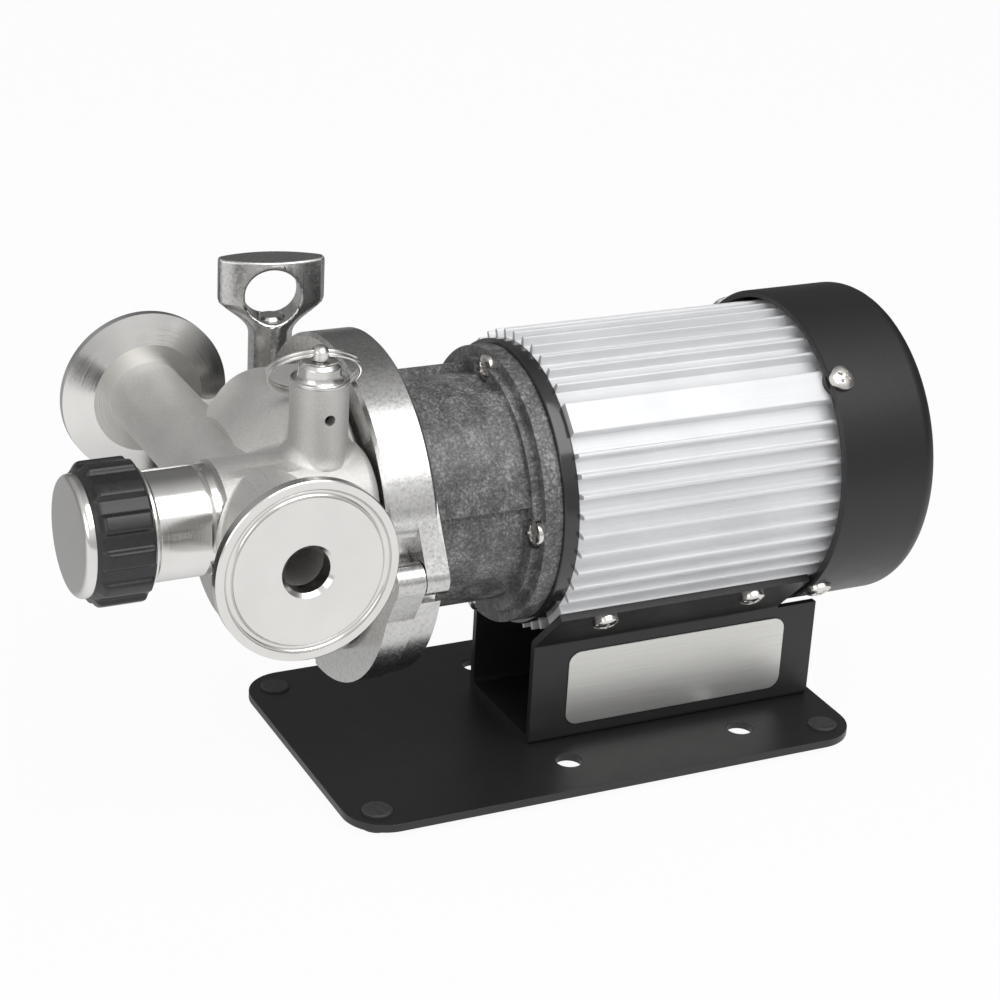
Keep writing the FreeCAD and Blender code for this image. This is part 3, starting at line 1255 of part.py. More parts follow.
def lens_wire(z, half, thin, thick, bulge):
    """Closed outline at a height: two bowed faces and two rounded ends."""
    left = V(-half, 0, z)
    right = V(half, 0, z)
    low = V(0, -thin, 0)
    high = V(0, thin, 0)
    return Part.Wire([Part.Arc(left + low, V(0, -thick, z), right + low).toShape(),
                      Part.Arc(right + low, V(half + bulge, 0, z), right + high).toShape(),
                      Part.Arc(right + high, V(0, thick, z), left + high).toShape(),
                      Part.Arc(left + high, V(-half - bulge, 0, z), left + low).toShape()])


def wing_nut():
    """Cast wing nut: lens-shaped head with a finger hole, drawn in to a round stem."""
    stem = WING_STEM_RADIUS
    corner = math.radians(WING_STEM_CORNER)
    foot = (stem * math.cos(corner), stem * math.sin(corner), stem, stem * (1 - math.cos(corner)))
    head_half = WING_WIDTH / 2 - WING_END_BULGE
    head = (head_half, WING_END_THICK / 2, WING_THICK / 2, WING_END_BULGE)
    side_foot = WING_TOP - WING_SIDE
    wires = []
    for height, share in WING_THROAT:
        z = WING_STEM_TOP + height * (side_foot - WING_STEM_TOP)
        wires.append(lens_wire(z, *[a + share * (b - a) for a, b in zip(foot, head)]))
    throat = Part.makeLoft(wires, True, False)
    plate = Part.Face(lens_wire(side_foot, *head)).extrude(V(0, 0, WING_SIDE))
    base = EAR_TOP + ASSEMBLY
    post = turned((base, 0), (base, stem - 0.6), (base + 0.6, stem), (WING_STEM_TOP, stem),
                  (WING_STEM_TOP, 0), direction=Z)
    finger = rod(WING_HOLE_RADIUS, V(0, -WING_THICK, WING_HOLE_Z), V(0, WING_THICK, WING_HOLE_Z))
    thread = rod(BOLT_RADIUS + RUNNING, V(0, 0, base), V(0, 0, WING_HOLE_Z))
    nut = fused([plate, throat, post]).cut([finger, thread])
    nut.rotate(V(0, 0, 0), Z, WING_TURN)
    nut.translate(V(0, BOLT_Y, 0))
    return nut


STAND_PARTS = [base_plate, rubber_feet, pedestal, pedestal_screws, nameplate]
PUMP_PARTS = [motor_housing, front_shield, rear_shield, front_bearing, rear_bearing, stator_core,
              stator_windings, rotor_core, motor_shaft, rear_cap, cap_screws, cord_gland, run_capacitor,
              adapter, adapter_screws, isolation_can, impeller, driven_magnet, spindle, thrust_washers,
              drive_magnet, pump_head, inlet_ferrule, outlet_ferrule, head_gasket, valve_bonnet,
              bonnet_seal, bonnet_clip, valve_plug, plug_seals, valve_spindle, valve_knob, knob_grip,
              bleed_cap, bleed_pin, bleed_seal, bleed_spring, pull_ring, clamp_upper, clamp_lower,
              hinge_pin, bolt_pin, swing_bolt, wing_nut]

os.makedirs("parts", exist_ok=True)
for make in STAND_PARTS:
    make().exportStep("parts/" + make.__name__ + ".step")
for make in PUMP_PARTS:
    up_to_row(make()).exportStep("parts/" + make.__name__ + ".step")
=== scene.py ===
import json
import math

import bmesh
import bpy
import numpy as np
from mathutils import Matrix, Vector


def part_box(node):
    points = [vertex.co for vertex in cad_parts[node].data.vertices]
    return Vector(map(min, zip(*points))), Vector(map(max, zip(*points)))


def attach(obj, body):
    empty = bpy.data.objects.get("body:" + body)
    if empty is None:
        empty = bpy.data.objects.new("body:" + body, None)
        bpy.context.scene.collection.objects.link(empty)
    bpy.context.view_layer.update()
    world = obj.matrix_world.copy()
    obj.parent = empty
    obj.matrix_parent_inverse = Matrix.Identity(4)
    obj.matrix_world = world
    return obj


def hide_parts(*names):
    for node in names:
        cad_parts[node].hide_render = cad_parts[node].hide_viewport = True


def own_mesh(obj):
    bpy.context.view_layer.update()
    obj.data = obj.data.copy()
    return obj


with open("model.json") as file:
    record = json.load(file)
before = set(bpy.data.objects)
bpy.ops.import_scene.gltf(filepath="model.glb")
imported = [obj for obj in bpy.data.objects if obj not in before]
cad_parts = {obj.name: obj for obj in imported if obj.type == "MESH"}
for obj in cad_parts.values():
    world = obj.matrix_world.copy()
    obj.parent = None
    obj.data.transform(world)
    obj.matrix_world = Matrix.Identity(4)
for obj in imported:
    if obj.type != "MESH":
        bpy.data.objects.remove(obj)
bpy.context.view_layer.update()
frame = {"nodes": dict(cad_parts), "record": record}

# The studio. A white room with a pale floor under the rubber feet, a broad soft box high in front,
# a weaker one at the left, and a camera with a long lens that looks down on the outlet side.
CAMERA_PLACE = Vector((-0.35964, -0.62666, 0.37962))
CAMERA_AZIMUTH = math.radians(-26.9696)
CAMERA_ELEVATION = math.radians(23.4236)
CAMERA_ROLL = math.radians(3.3365)
CAMERA_LENS = 93.35
FLOOR_SIZE = 12.0
FLOOR_GAP = 0.00005
SOFT_BOXES = (("key_box", (0.10, -0.62, 1.05), 1.00, 0.85, 6.6),
              ("left_box", (-0.95, -0.45, 0.50), 0.60, 0.50, 1.2))
LIGHTS_AIM = Vector((-0.04, 0, 0.07))
ROOM_BANDS = ((0.45, 0.62), (0.58, 0.55), (0.70, 0.85), (0.90, 0.9), (1.0, 0.6))
ROOM_ON_SURFACES = 0.48


class Reading:
    """One output of a shader node. Arithmetic on readings adds Math nodes."""

    def __init__(self, finish, socket):
        self.finish = finish
        self.socket = socket

    def math(self, operation, first, second):
        return self.finish.add("ShaderNodeMath", {"operation": operation}, {0: first, 1: second})

    def __add__(self, other):
        return self.math("ADD", self, other)

    def __sub__(self, other):
        return self.math("SUBTRACT", self, other)

    def __rsub__(self, other):
        return self.math("SUBTRACT", other, self)

    def __mul__(self, other):
        return self.math("MULTIPLY", self, other)

    def __pow__(self, other):
        return self.math("POWER", self, other)

    __radd__ = __add__
    __rmul__ = __mul__

    def step(self, low, high):
        """Smooth step, 0 below low and 1 above high."""
        return self.finish.add("ShaderNodeMapRange", {"interpolation_type": "SMOOTHSTEP"},
                               {"Value": self, "From Min": low, "From Max": high})


class Finish:
    """A surface finish under construction: a node tree with a Principled shader, or a world."""

    def __init__(self, name, world=False, **constants):
        self.data = (bpy.data.worlds if world else bpy.data.materials).new(name)
        self.data.use_nodes = True
        self.tree = self.data.node_tree
        self.shader = self.tree.nodes["Background" if world else "Principled BSDF"]
        for name, value in constants.items():
            self.set(name.replace("_", " "), value)

    def set(self, socket, value):
        """Sets or feeds a socket of the shader."""
        self.join(self.shader.inputs[socket], value)

    def join(self, socket, value):
        if isinstance(value, Reading):
            self.tree.links.new(value.socket, socket)
        else:
            socket.default_value = value

    def add(self, kind, settings, values, out=0):
        """Adds a node: settings first (a ramp's are its stops), then its sockets by name or number."""
        node = self.tree.nodes.new(kind)
        for name, value in settings.items():
            if name == "stops":
                stops = node.color_ramp.elements
                stops[0].position = value[0][0]
                stops[1].position = value[-1][0]
                for place, colour in value[1:-1]:
                    stops.new(place)
                for stop, (place, colour) in zip(stops, value):
                    stop.color = (*colour, 1)
            else:
                setattr(node, name, value)
        for socket, value in values.items():
            self.join(node.inputs[socket], value)
        return Reading(self, node.outputs[out])

    def place(self, stretch=(1, 1, 1), centre=(0, 0, 0)):
        """Object coordinates, moved to a centre and then stretched."""
        at = self.add("ShaderNodeTexCoord", {}, {}, "Object")
        at = self.add("ShaderNodeVectorMath", {"operation": "SUBTRACT"}, {0: at, 1: centre})
        return self.add("ShaderNodeVectorMath", {"operation": "MULTIPLY"}, {0: at, 1: stretch})

    def noise(self, per_metre, detail=3.0, roughness=0.5, stretch=(1, 1, 1), distortion=0.0):
        """Cloudy noise between 0 and 1 with so many lumps to the metre."""
        return self.add("ShaderNodeTexNoise", {},
                        {"Vector": self.place(stretch), "Scale": per_metre, "Detail": detail,
                         "Roughness": roughness, "Distortion": distortion})

    def ramp(self, reading, *stops):
        """Colour of a reading, between stops of a place and a colour."""
        return self.add("ShaderNodeValToRGB", {"stops": stops}, {"Fac": reading})

    def bump(self, height, depth):
        """Feeds the shader's normal: height 0 to 1 stands for depth in metres."""
        self.set("Normal", self.add("ShaderNodeBump", {}, {"Height": height, "Distance": depth}))


def seen_through(finish):
    """Three readings, for camera rays, mirror rays and glass rays: 1 for such a ray, else 0."""
    return [finish.add("ShaderNodeLightPath", {}, {}, f"Is {kind} Ray")
            for kind in ("Camera", "Glossy", "Transmission")]


def build_room():
    """World: white to the camera. To metal it is a table-top studio: a grey horizon, a bright band
    of light above it, and a much darker wall behind the object and at its right."""
    room = Finish("white_room", world=True, Color=(1, 1, 1, 1))
    camera, mirror, glass = seen_through(room)
    way = room.add("ShaderNodeTexCoord", {}, {}, "Generated")
    depth = room.add("ShaderNodeSeparateXYZ", {}, {0: way}, 1)
    height = room.add("ShaderNodeSeparateXYZ", {}, {0: way}, 2)
    bands = room.ramp(height * 0.5 + 0.5, *[(place, (level,) * 3) for place, level in ROOM_BANDS])
    side = room.add("ShaderNodeSeparateXYZ", {}, {0: way}, 0)
    reflected = bands * (1.0 - depth.step(-0.15, 0.62) * (0.55 + side.step(-0.35, 0.35) * 0.25))
    reflected = reflected * (1.0 - side.step(0.55, 0.85) * 0.75)
    shown = camera + glass
    level = shown + (1.0 - shown) * (mirror * reflected + (1.0 - mirror) * ROOM_ON_SURFACES)
    room.set("Strength", level)
    bpy.context.scene.world = room.data


def build_floor():
    """Floor just under the feet: paper that mixes with a white glow, by a share for each kind of ray.
    The camera sees it nearly white with a faint shadow; in metal it darkens to the back and right."""
    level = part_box("rubber_feet")[0].z - FLOOR_GAP
    half = FLOOR_SIZE / 2
    mesh = bpy.data.meshes.new("studio_floor")
    corners = [(side * half, depth * half, level) for side, depth in ((-1, -1), (1, -1), (1, 1), (-1, 1))]
    mesh.from_pydata(corners, [], [(0, 1, 2, 3)])
    floor = bpy.data.objects.new("studio_floor", mesh)
    bpy.context.collection.objects.link(floor)
    paper = Finish("pale_paper", Base_Color=(0.9, 0.9, 0.9, 1), Roughness=0.9)
    camera, mirror, glass = seen_through(paper)
    depth = paper.add("ShaderNodeSeparateXYZ", {}, {0: paper.place()}, 1)
    side = paper.add("ShaderNodeSeparateXYZ", {}, {0: paper.place()}, 0)
    fall = (1.0 - depth.step(-0.08, 0.15) * 0.62) * (1.0 - side.step(0.1, 0.5) * 0.5)
    strength = 1.0 - mirror * (1.0 - fall)
    glow = paper.add("ShaderNodeEmission", {}, {"Color": (1, 1, 1, 1), "Strength": strength})
    share = camera * 0.95 + mirror * 0.93 + glass * 0.7
    matt = Reading(paper, paper.shader.outputs[0])
    both = paper.add("ShaderNodeMixShader", {}, {0: share, 1: matt, 2: glow})
    paper.join(paper.tree.nodes["Material Output"].inputs["Surface"], both)
    mesh.materials.append(paper.data)


def build_lights():
    for name, place, width, height, power in SOFT_BOXES:
        lamp = bpy.data.lights.new(name, "AREA")
        lamp.shape = "RECTANGLE"
        lamp.size = width
        lamp.size_y = height
        lamp.energy = power
        box = bpy.data.objects.new(name, lamp)
        box.location = place
        box.rotation_mode = "QUATERNION"
        box.rotation_quaternion = (LIGHTS_AIM - Vector(place)).to_track_quat("-Z", "Y")
        bpy.context.collection.objects.link(box)


def build_camera():
    """Camera turned by azimuth and elevation, then rolled about its own axis."""
    level_part = math.cos(CAMERA_ELEVATION)
    back = Vector((math.sin(CAMERA_AZIMUTH) * level_part, -math.cos(CAMERA_AZIMUTH) * level_part,
                   math.sin(CAMERA_ELEVATION)))
    level = (-back).cross(Vector((0, 0, 1))).normalized()
    upright = level.cross(-back)
    right = math.cos(CAMERA_ROLL) * level + math.sin(CAMERA_ROLL) * upright
    up = math.cos(CAMERA_ROLL) * upright - math.sin(CAMERA_ROLL) * level
    lens = bpy.data.cameras.new("photo_camera")
    lens.lens = CAMERA_LENS
    lens.sensor_width = 36.0
    lens.clip_start = 0.01
    camera = bpy.data.objects.new("photo_camera", lens)
    camera.matrix_world = Matrix.Translation(CAMERA_PLACE) @ Matrix((right, up, back)).transposed().to_4x4()
    bpy.context.collection.objects.link(camera)
    bpy.context.scene.camera = camera


build_room()
build_floor()
build_lights()
build_camera()
bpy.context.scene.view_settings.view_transform = "Standard"


# Base plate and pedestal. Both are steel sheet with a satin black powder coat, whose skin shows
# a fine orange peel; the pedestal is folded and stands on the plate.
def dress(finish, *names):
    """Gives CAD pieces a finish."""
    for name in names:
        for slot in frame["nodes"][name].material_slots:
            slot.material = finish.data


def powder_coat(name, grey, roughness, peel):
    """Black powder coat: two sizes of peel in the bump, a slow drift in gloss."""
    coat = Finish(name, Base_Color=(grey, grey, grey * 1.05, 1))
    fine = coat.noise(2600, 2.0)
    slow = coat.noise(160, 2.0)
    coat.set("Roughness", roughness + (slow - 0.5) * 0.12 + (fine - 0.5) * 0.08)
    coat.bump(fine * 0.6 + slow * 0.4, peel)
    return coat


BODY_OF = {node: body for body, nodes in frame["record"]["behaviour"]["bodies"].items() for node in nodes}


def stand_for(piece, node):
    """The piece takes the place of a CAD piece, with its body."""
    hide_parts(node)
    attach(piece, BODY_OF[node])


def merged_shell(node):
    """The CAD piece's surface as a new mesh: doubles merged and the triangles of a flat joined."""
    shell = bmesh.new()
    shell.from_mesh(frame["nodes"][node].data)
    bmesh.ops.remove_doubles(shell, verts=shell.verts, dist=1e-6)
    bmesh.ops.dissolve_limit(shell, angle_limit=math.radians(0.5), verts=shell.verts, edges=shell.edges)
    mesh = bpy.data.meshes.new(node + "_shell")
    shell.to_mesh(mesh)
    shell.free()
    return mesh


EASED_TURN = math.radians(35)


def eased(node, width, finish, free=False):
    """The piece with its sharp edges broken: each edge that turns by more than EASED_TURN is
    rounded over a width, and the shading follows the larger faces. A free width isn't held back by
    short edges nearby."""
    mesh = merged_shell(node)
    mesh.shade_smooth()
    mesh.materials.clear()
    mesh.materials.append(finish.data)
    piece = bpy.data.objects.new(node + "_eased", mesh)
    bpy.context.collection.objects.link(piece)
    edges = piece.modifiers.new("edges", "BEVEL")
    edges.width = width
    edges.segments = 3
    edges.limit_method = "ANGLE"
    edges.angle_limit = EASED_TURN
    edges.use_clamp_overlap = not free
    shading = piece.modifiers.new("shading", "WEIGHTED_NORMAL")
    shading.weight = 100
    stand_for(piece, node)


SATIN_BLACK = powder_coat("satin_black_powder", 0.021, 0.38, 0.00007)
eased("base_plate", 0.0005, SATIN_BLACK)
eased("pedestal", 0.0003, SATIN_BLACK)


# Four feet of moulded black rubber, pushed through holes near the corners of the plate. A flat
# button on top of the plate holds each one.
def soft_rubber(name, grey, roughness):
    """Rubber: dusty patches in tone and gloss, and a fine grain."""
    rubber = Finish(name)
    dust = rubber.noise(700, 4.0, 0.6)
    rubber.set("Base Color", rubber.ramp(dust, (0.35, (grey * 0.8,) * 3), (0.75, (grey * 1.3,) * 3)))
    rubber.set("Roughness", roughness + (dust - 0.5) * 0.15)
    rubber.bump(rubber.noise(3500, 2.0), 0.00003)
    return rubber


dress(soft_rubber("foot_rubber", 0.05, 0.55), "rubber_feet")


# Nameplate: a bare sheet of satin metal with round corners, brushed along its length and stuck on
# the pedestal wall.
def build_nameplate_finish():
    plate = Finish("brushed_plate", Metallic=0.9)
    grain = plate.noise(1.0, 3.0, 0.6, stretch=(60, 60, 5200))
    plate.set("Base Color", plate.ramp(grain, (0.3, (0.66, 0.655, 0.63)), (0.7, (0.76, 0.755, 0.73))))
    plate.set("Roughness", 0.34 + (grain - 0.5) * 0.16)
    plate.bump(grain, 0.00002)
    return plate


eased("nameplate", 0.0002, build_nameplate_finish())


# Motor barrel: one length of finned aluminium extrusion with a pale silver anodised skin, drawn in
# fine lines along the fins.
def build_extrusion_finish():
    """Anodised skin: die lines along X in tone, gloss and bump, over a slow cloud."""
    skin = Finish("silver_aluminium", Metallic=0.25)
    lines = skin.noise(1.0, 2.0, 0.5, stretch=(14, 2400, 2400))
    cloud = skin.noise(60, 2.0)
    skin.set("Base Color", skin.ramp(cloud * 0.6 + lines * 0.4, (0.3, (0.78, 0.785, 0.80)),
                                     (0.7, (0.88, 0.885, 0.895))))
    skin.set("Roughness", 0.42 + (lines - 0.5) * 0.12)
    skin.bump(lines, 0.000015)
    return skin


SHAFT_HEIGHT = 0.081
BARREL_START, BARREL_END, BARREL_BORE = -0.03647, 0.0554, 0.038
FIN_ROOT, FIN_TIP, FIN_HALF, FIN_SOFTNESS = 0.0418, 0.0448, 0.00074, 0.00008
LAND, LAND_HALF, LAND_SOFTNESS = 0.0446, 0.0049, 0.00007


def barrel_section():
    """Outline across the barrel, as angles and radii. Each fin or land is a plateau above the root
    circle that falls off at its sides as a logistic step, so tips and roots are rounded. The points
    across it, in millimetres from its middle, lie closest on the step."""
    near = np.array([0, .25, .40, .48, .54, .59, .63, .67, .71, .75, .79, .83, .87, .92, 1.0, 1.15, 1.5,
                     2.0, 2.75])
    fin = np.concatenate([-near[:0:-1], near]) / 1000
    middles = np.radians([90 * quarter + step * 23 / 3 for quarter in range(4) for step in range(-4, 5)])
    fin_turn = middles[:, None] + fin / FIN_TIP
    fin_step = 1 / (1 + np.exp((np.abs(fin) - FIN_HALF) / FIN_SOFTNESS))
    fin_radius = FIN_ROOT + (FIN_TIP - FIN_ROOT) * fin_step + 0 * fin_turn
    flat = np.concatenate([[0, 1.5, 3.0, 4.0, 4.4], near[3:16] + 4.16]) / 1000
    flat = np.concatenate([-flat[:0:-1], flat])
    corners = np.radians([45, 135, 225, 315])
    flat_turn = corners[:, None] + np.arctan(flat / LAND)
    flat_top = np.hypot(LAND, flat) + 0 * flat_turn
    flat_step = 1 / (1 + np.exp((np.abs(flat) - LAND_HALF) / LAND_SOFTNESS))
    flat_radius = FIN_ROOT + (flat_top - FIN_ROOT) * flat_step
    turn = np.concatenate([fin_turn.ravel(), flat_turn.ravel()])
    radius = np.concatenate([fin_radius.ravel(), flat_radius.ravel()])
    order = np.argsort(turn)
    return turn[order], radius[order]


def mesh_of_grids(name, grids, finish, close_rows=False):
    """One mesh from grids of points; the second direction of each grid closes on itself, the first
    one only on request. Rows that shrink to a point are merged, faces point outward, and folds of
    more than 50 degrees are kept sharp."""
    points, faces, start = [], [], 0
    for grid in grids:
        rows, columns = grid.shape[:2]
        index = np.arange(rows * columns).reshape(rows, columns) + start
        if close_rows:
            index = np.vstack([index, index[:1]])
        right = np.roll(index, -1, axis=1)
        faces.append(np.stack([index[:-1], index[1:], right[1:], right[:-1]], axis=-1).reshape(-1, 4))
        points.append(grid.reshape(-1, 3))
        start += rows * columns
    mesh = bpy.data.meshes.new(name)
    mesh.from_pydata(np.concatenate(points).tolist(), [], np.concatenate(faces).tolist())
    shell = bmesh.new()
    shell.from_mesh(mesh)
    bmesh.ops.remove_doubles(shell, verts=shell.verts, dist=1e-7)
    bmesh.ops.recalc_face_normals(shell, faces=shell.faces)
    shell.to_mesh(mesh)
    shell.free()
    mesh.shade_smooth()
    mesh.set_sharp_from_angle(angle=math.radians(50))
    mesh.materials.append(finish.data)
    piece = bpy.data.objects.new(name, mesh)
    bpy.context.collection.objects.link(piece)
    return piece


def round_x(along, radius, turn, y=0.0, z=0.0):
    """Points round a line along X: stations and radii by rows, and by columns angles up from the
    outlet side."""
    return np.stack([along + 0 * turn, y - radius * np.cos(turn), z + radius * np.sin(turn)], axis=-1)


def build_barrel():
    """The section carried along the shaft, with flat ends turned in to the bore."""
    turn, radius = barrel_section()
    along = np.array([BARREL_START, BARREL_START, BARREL_END, BARREL_END])[:, None]
    bore = np.full_like(radius, BARREL_BORE)
    radii = np.stack([bore, radius, radius, bore])
    grid = round_x(along, radii, turn[None], z=SHAFT_HEIGHT)
    barrel = mesh_of_grids("finned_barrel", [grid], build_extrusion_finish(), close_rows=True)
    stand_for(barrel, "motor_housing")


build_barrel()


# End shields and cap. The front ring is enamelled gloss black, the drawn rear cap has a smoother
# powder coat than the stand, and the hidden rear shield is bare cast aluminium.
def build_enamel():
    """Enamel: a clear coat over black, with slow waves."""
    enamel = Finish("gloss_black_enamel", Base_Color=(0.012, 0.012, 0.013, 1), Coat_Weight=0.6,
                    Coat_Roughness=0.08)
    waves = enamel.noise(120, 2.0)
    enamel.set("Roughness", 0.16 + (waves - 0.5) * 0.1)
    enamel.bump(waves, 0.00004)
    return enamel


def cast_metal(name, colour, roughness, grain, depth):
    """Blasted casting: fine pits in the bump and a little drift in tone."""
    metal = Finish(name, Metallic=1.0)
    pits = metal.noise(grain, 3.0, 0.65)
    drift = metal.noise(45, 3.0)
    tones = [tuple(channel * share for channel in colour) for share in (0.88, 1.06)]
    metal.set("Base Color", metal.ramp(drift * 0.4 + pits * 0.6, (0.38, tones[0]), (0.62, tones[1])))
    metal.set("Roughness", roughness + (pits - 0.5) * 0.18)
    metal.bump(pits, depth)
    return metal


eased("front_shield", 0.0005, build_enamel())
eased("rear_cap", 0.0004, powder_coat("cap_powder", 0.014, 0.36, 0.00007))
dress(cast_metal("bare_casting", (0.62, 0.62, 0.63), 0.5, 1500, 0.00006), "rear_shield")


# What turns and what drives it inside the motor: ground bearings and shaft, stacked sheets,
# enamelled copper, and the moulded gland and capacitor.
def ground_steel(name, colour, roughness):
    """Ground metal: short marks round the shaft."""
    steel = Finish(name, Metallic=1.0)
    grain = steel.noise(1.0, 2.0, 0.5, stretch=(2200, 300, 300))
    steel.set("Base Color", steel.ramp(grain, (0.3, tuple(0.92 * c for c in colour)), (0.7, colour)))
    steel.set("Roughness", roughness + (grain - 0.5) * 0.1)
    return steel


def moulded(name, colour, roughness):
    """Moulded polymer with a faint grain."""
    plastic = Finish(name)
    grain = plastic.noise(1400, 3.0)
    plastic.set("Base Color", plastic.ramp(grain, (0.3, tuple(0.92 * c for c in colour)), (0.7, colour)))
    plastic.set("Roughness", roughness + (grain - 0.5) * 0.12)
    plastic.bump(grain, 0.00002)
    return plastic


dress(ground_steel("ground_steel", (0.56, 0.56, 0.57), 0.25),
      "front_bearing", "rear_bearing", "motor_shaft")
dress(ground_steel("stacked_sheets", (0.28, 0.28, 0.29), 0.45), "stator_core", "rotor_core")
dress(ground_steel("enamelled_copper", (0.72, 0.33, 0.16), 0.35), "stator_windings")
dress(moulded("black_polymer", (0.03, 0.03, 0.03), 0.5), "cord_gland", "isolation_can", "impeller")
dress(moulded("pale_polymer", (0.7, 0.69, 0.65), 0.45), "run_capacitor")
dress(moulded("ground_ceramic", (0.82, 0.81, 0.78), 0.3), "spindle", "thrust_washers")
dress(cast_metal("coated_magnet", (0.16, 0.16, 0.17), 0.5, 900, 0.00004), "drive_magnet", "driven_magnet")


# Adapter: the lantern between the motor and the pump head, moulded from glass-filled polymer. It
# is grey with pale fibre specks all over, has eased edges, and is held by four screws.
def build_filled_polymer():
    """Filled polymer: cloud and grain together pick one of four greys, and roughen the skin."""
    polymer = Finish("filled_polymer")
    cloud = polymer.noise(150, 3.0, 0.6, distortion=0.4)
    grain = polymer.noise(1150, 4.0, 0.72)
    mottle = cloud * 0.35 + grain * 0.65
    polymer.set("Base Color", polymer.ramp(mottle, (0.36, (0.045, 0.045, 0.046)),
                                           (0.46, (0.10, 0.10, 0.10)),
                                           (0.54, (0.18, 0.18, 0.18)), (0.64, (0.40, 0.40, 0.395))))
    polymer.set("Roughness", 0.36 + (grain - 0.5) * 0.25)
    polymer.bump(grain * 0.7 + cloud * 0.3, 0.00006)
    return polymer


eased("adapter", 0.0006, build_filled_polymer())


# Pan-head screws with a cross recess, nickel plated: four on the adapter, four on the stand and
# four on the rear cap.
def pan_head(seat, way, turn, radius=0.0039, height=0.0025):
    """Screw head on a polar grid. The top is a crown, height minus a power of the radius; the cross
    recess sinks where a point is inside one of two crossed bars, with soft walls, and gets
    shallower outward. The rim is straight, and the underside is flat and closed."""
    bar, arm, wall, sink = 0.00052, 0.00225, 0.00016, 0.0014
    rim = radius * 0.94
    radii = np.concatenate([np.linspace(0, rim, 40), [radius * 0.985, radius, radius, 0.0]])
    angles = np.linspace(0, 2 * math.pi, 97)[:-1]
    r, a = np.meshgrid(radii, angles, indexing="ij")
    x, y = r * np.cos(a + turn), r * np.sin(a + turn)
    crown = height - 0.42 * height * (r / radius) ** 2.6
    flat_x, flat_y = r * np.cos(a), r * np.sin(a)

    def inside(across, along):
        taper = bar * (1 - 0.25 * np.abs(along) / arm)
        side = np.clip((taper - np.abs(across)) / wall, 0, 1)
        return side * np.clip((arm - np.abs(along)) / (2 * wall), 0, 1)

    recess = np.maximum(inside(flat_x, flat_y), inside(flat_y, flat_x))
    depth = sink * (1 - 0.35 * r / arm)
    z = crown - recess * np.clip(depth, 0, None)
    z[-3] = 0.35 * height
    z[-2:] = 0.0
    local = np.stack([x, y, z], axis=-1)
    turned = np.array(Vector(way).to_track_quat("Z", "Y").to_matrix())
    return local @ turned.T + np.array(seat)


def build_nickel():
    """Bright plating with faint marks."""
    nickel = Finish("nickel_plate", Base_Color=(0.74, 0.72, 0.69, 1), Metallic=1.0)
    marks = nickel.noise(900, 3.0)
    nickel.set("Roughness", 0.17 + (marks - 0.5) * 0.12)
    nickel.bump(marks, 0.00002)
    return nickel


NICKEL = build_nickel()
HEAD_CLAMP_X = -0.0906
ADAPTER_SEAT_X, ADAPTER_SEAT_RADIUS = 0.04396, 0.0366
STAND_SEAT_X, STAND_SEAT_STEP, STAND_SEAT_RADIUS = 0.0945, 0.0248, 0.0468
CAP_SEAT_X, CAP_SEAT_RADIUS = 0.1425, 0.0476


def around_shaft(x, radius, angle):
    """Point at a distance behind the head clamp and a radius from the shaft; degrees up from the
    outlet side."""
    turn = math.radians(angle)
    return Vector((HEAD_CLAMP_X + x, -radius * math.cos(turn), SHAFT_HEIGHT + radius * math.sin(turn)))


def outward(angle):
    """Direction away from the shaft at such an angle."""
    turn = math.radians(angle)
    return Vector((0, -math.cos(turn), math.sin(turn)))


def fit_screws(name, seats, turns):
    """Heads for a set of screws, each turned by its own angle in radians."""
    heads = [pan_head(seat, way, turn) for (seat, way), turn in zip(seats, turns)]
    stand_for(mesh_of_grids(name + "_heads", heads, NICKEL), name)


ADAPTER_SEATS = [(around_shaft(ADAPTER_SEAT_X, ADAPTER_SEAT_RADIUS, angle), (-1, 0, 0))
                 for angle in (0, 90, 180, 270)]
STAND_SEATS = [(around_shaft(STAND_SEAT_X + step, STAND_SEAT_RADIUS, angle), outward(angle))
               for step in (-STAND_SEAT_STEP, STAND_SEAT_STEP) for angle in (-45, -135)]
CAP_SEATS = [(around_shaft(CAP_SEAT_X, CAP_SEAT_RADIUS, angle), outward(angle))
             for angle in (45, 135, 225, 315)]
fit_screws("adapter_screws", ADAPTER_SEATS, (0.3, 0.9, 0.5, 1.2))
fit_screws("pedestal_screws", STAND_SEATS, (0.2, 0.7, 1.0, 0.4))
fit_screws("cap_screws", CAP_SEATS, (0.9, 0.3, 0.6, 1.1))


# Head clamp: two halves of cast stainless steel, tumbled until the skin is smooth but still
# mottled, with the swing bolt and the wing nut on the inlet side.
def tumbled_steel(name, colour, roughness):
    """Tumbled casting: faint dents, a fine mottle of darker grain, gloss that varies with it."""
    steel = Finish(name, Metallic=1.0)
    mottle = steel.noise(900, 5.0, 0.72)
    dents = steel.noise(210, 2.0)
    dark = tuple(channel * 0.72 for channel in colour)
    light = tuple(min(1.15 * channel, 1) for channel in colour)
    steel.set("Base Color", steel.ramp(mottle, (0.30, dark), (0.50, colour), (0.72, light)))
    steel.set("Roughness", roughness + (mottle - 0.5) * 0.24)
    steel.bump(mottle * 0.3 + dents * 0.7, 0.00005)
    return steel


TUMBLED = tumbled_steel("tumbled_steel", (0.60, 0.595, 0.585), 0.24)
eased("clamp_upper", 0.0005, TUMBLED)
eased("clamp_lower", 0.0005, TUMBLED)
eased("wing_nut", 0.0009, TUMBLED, free=True)


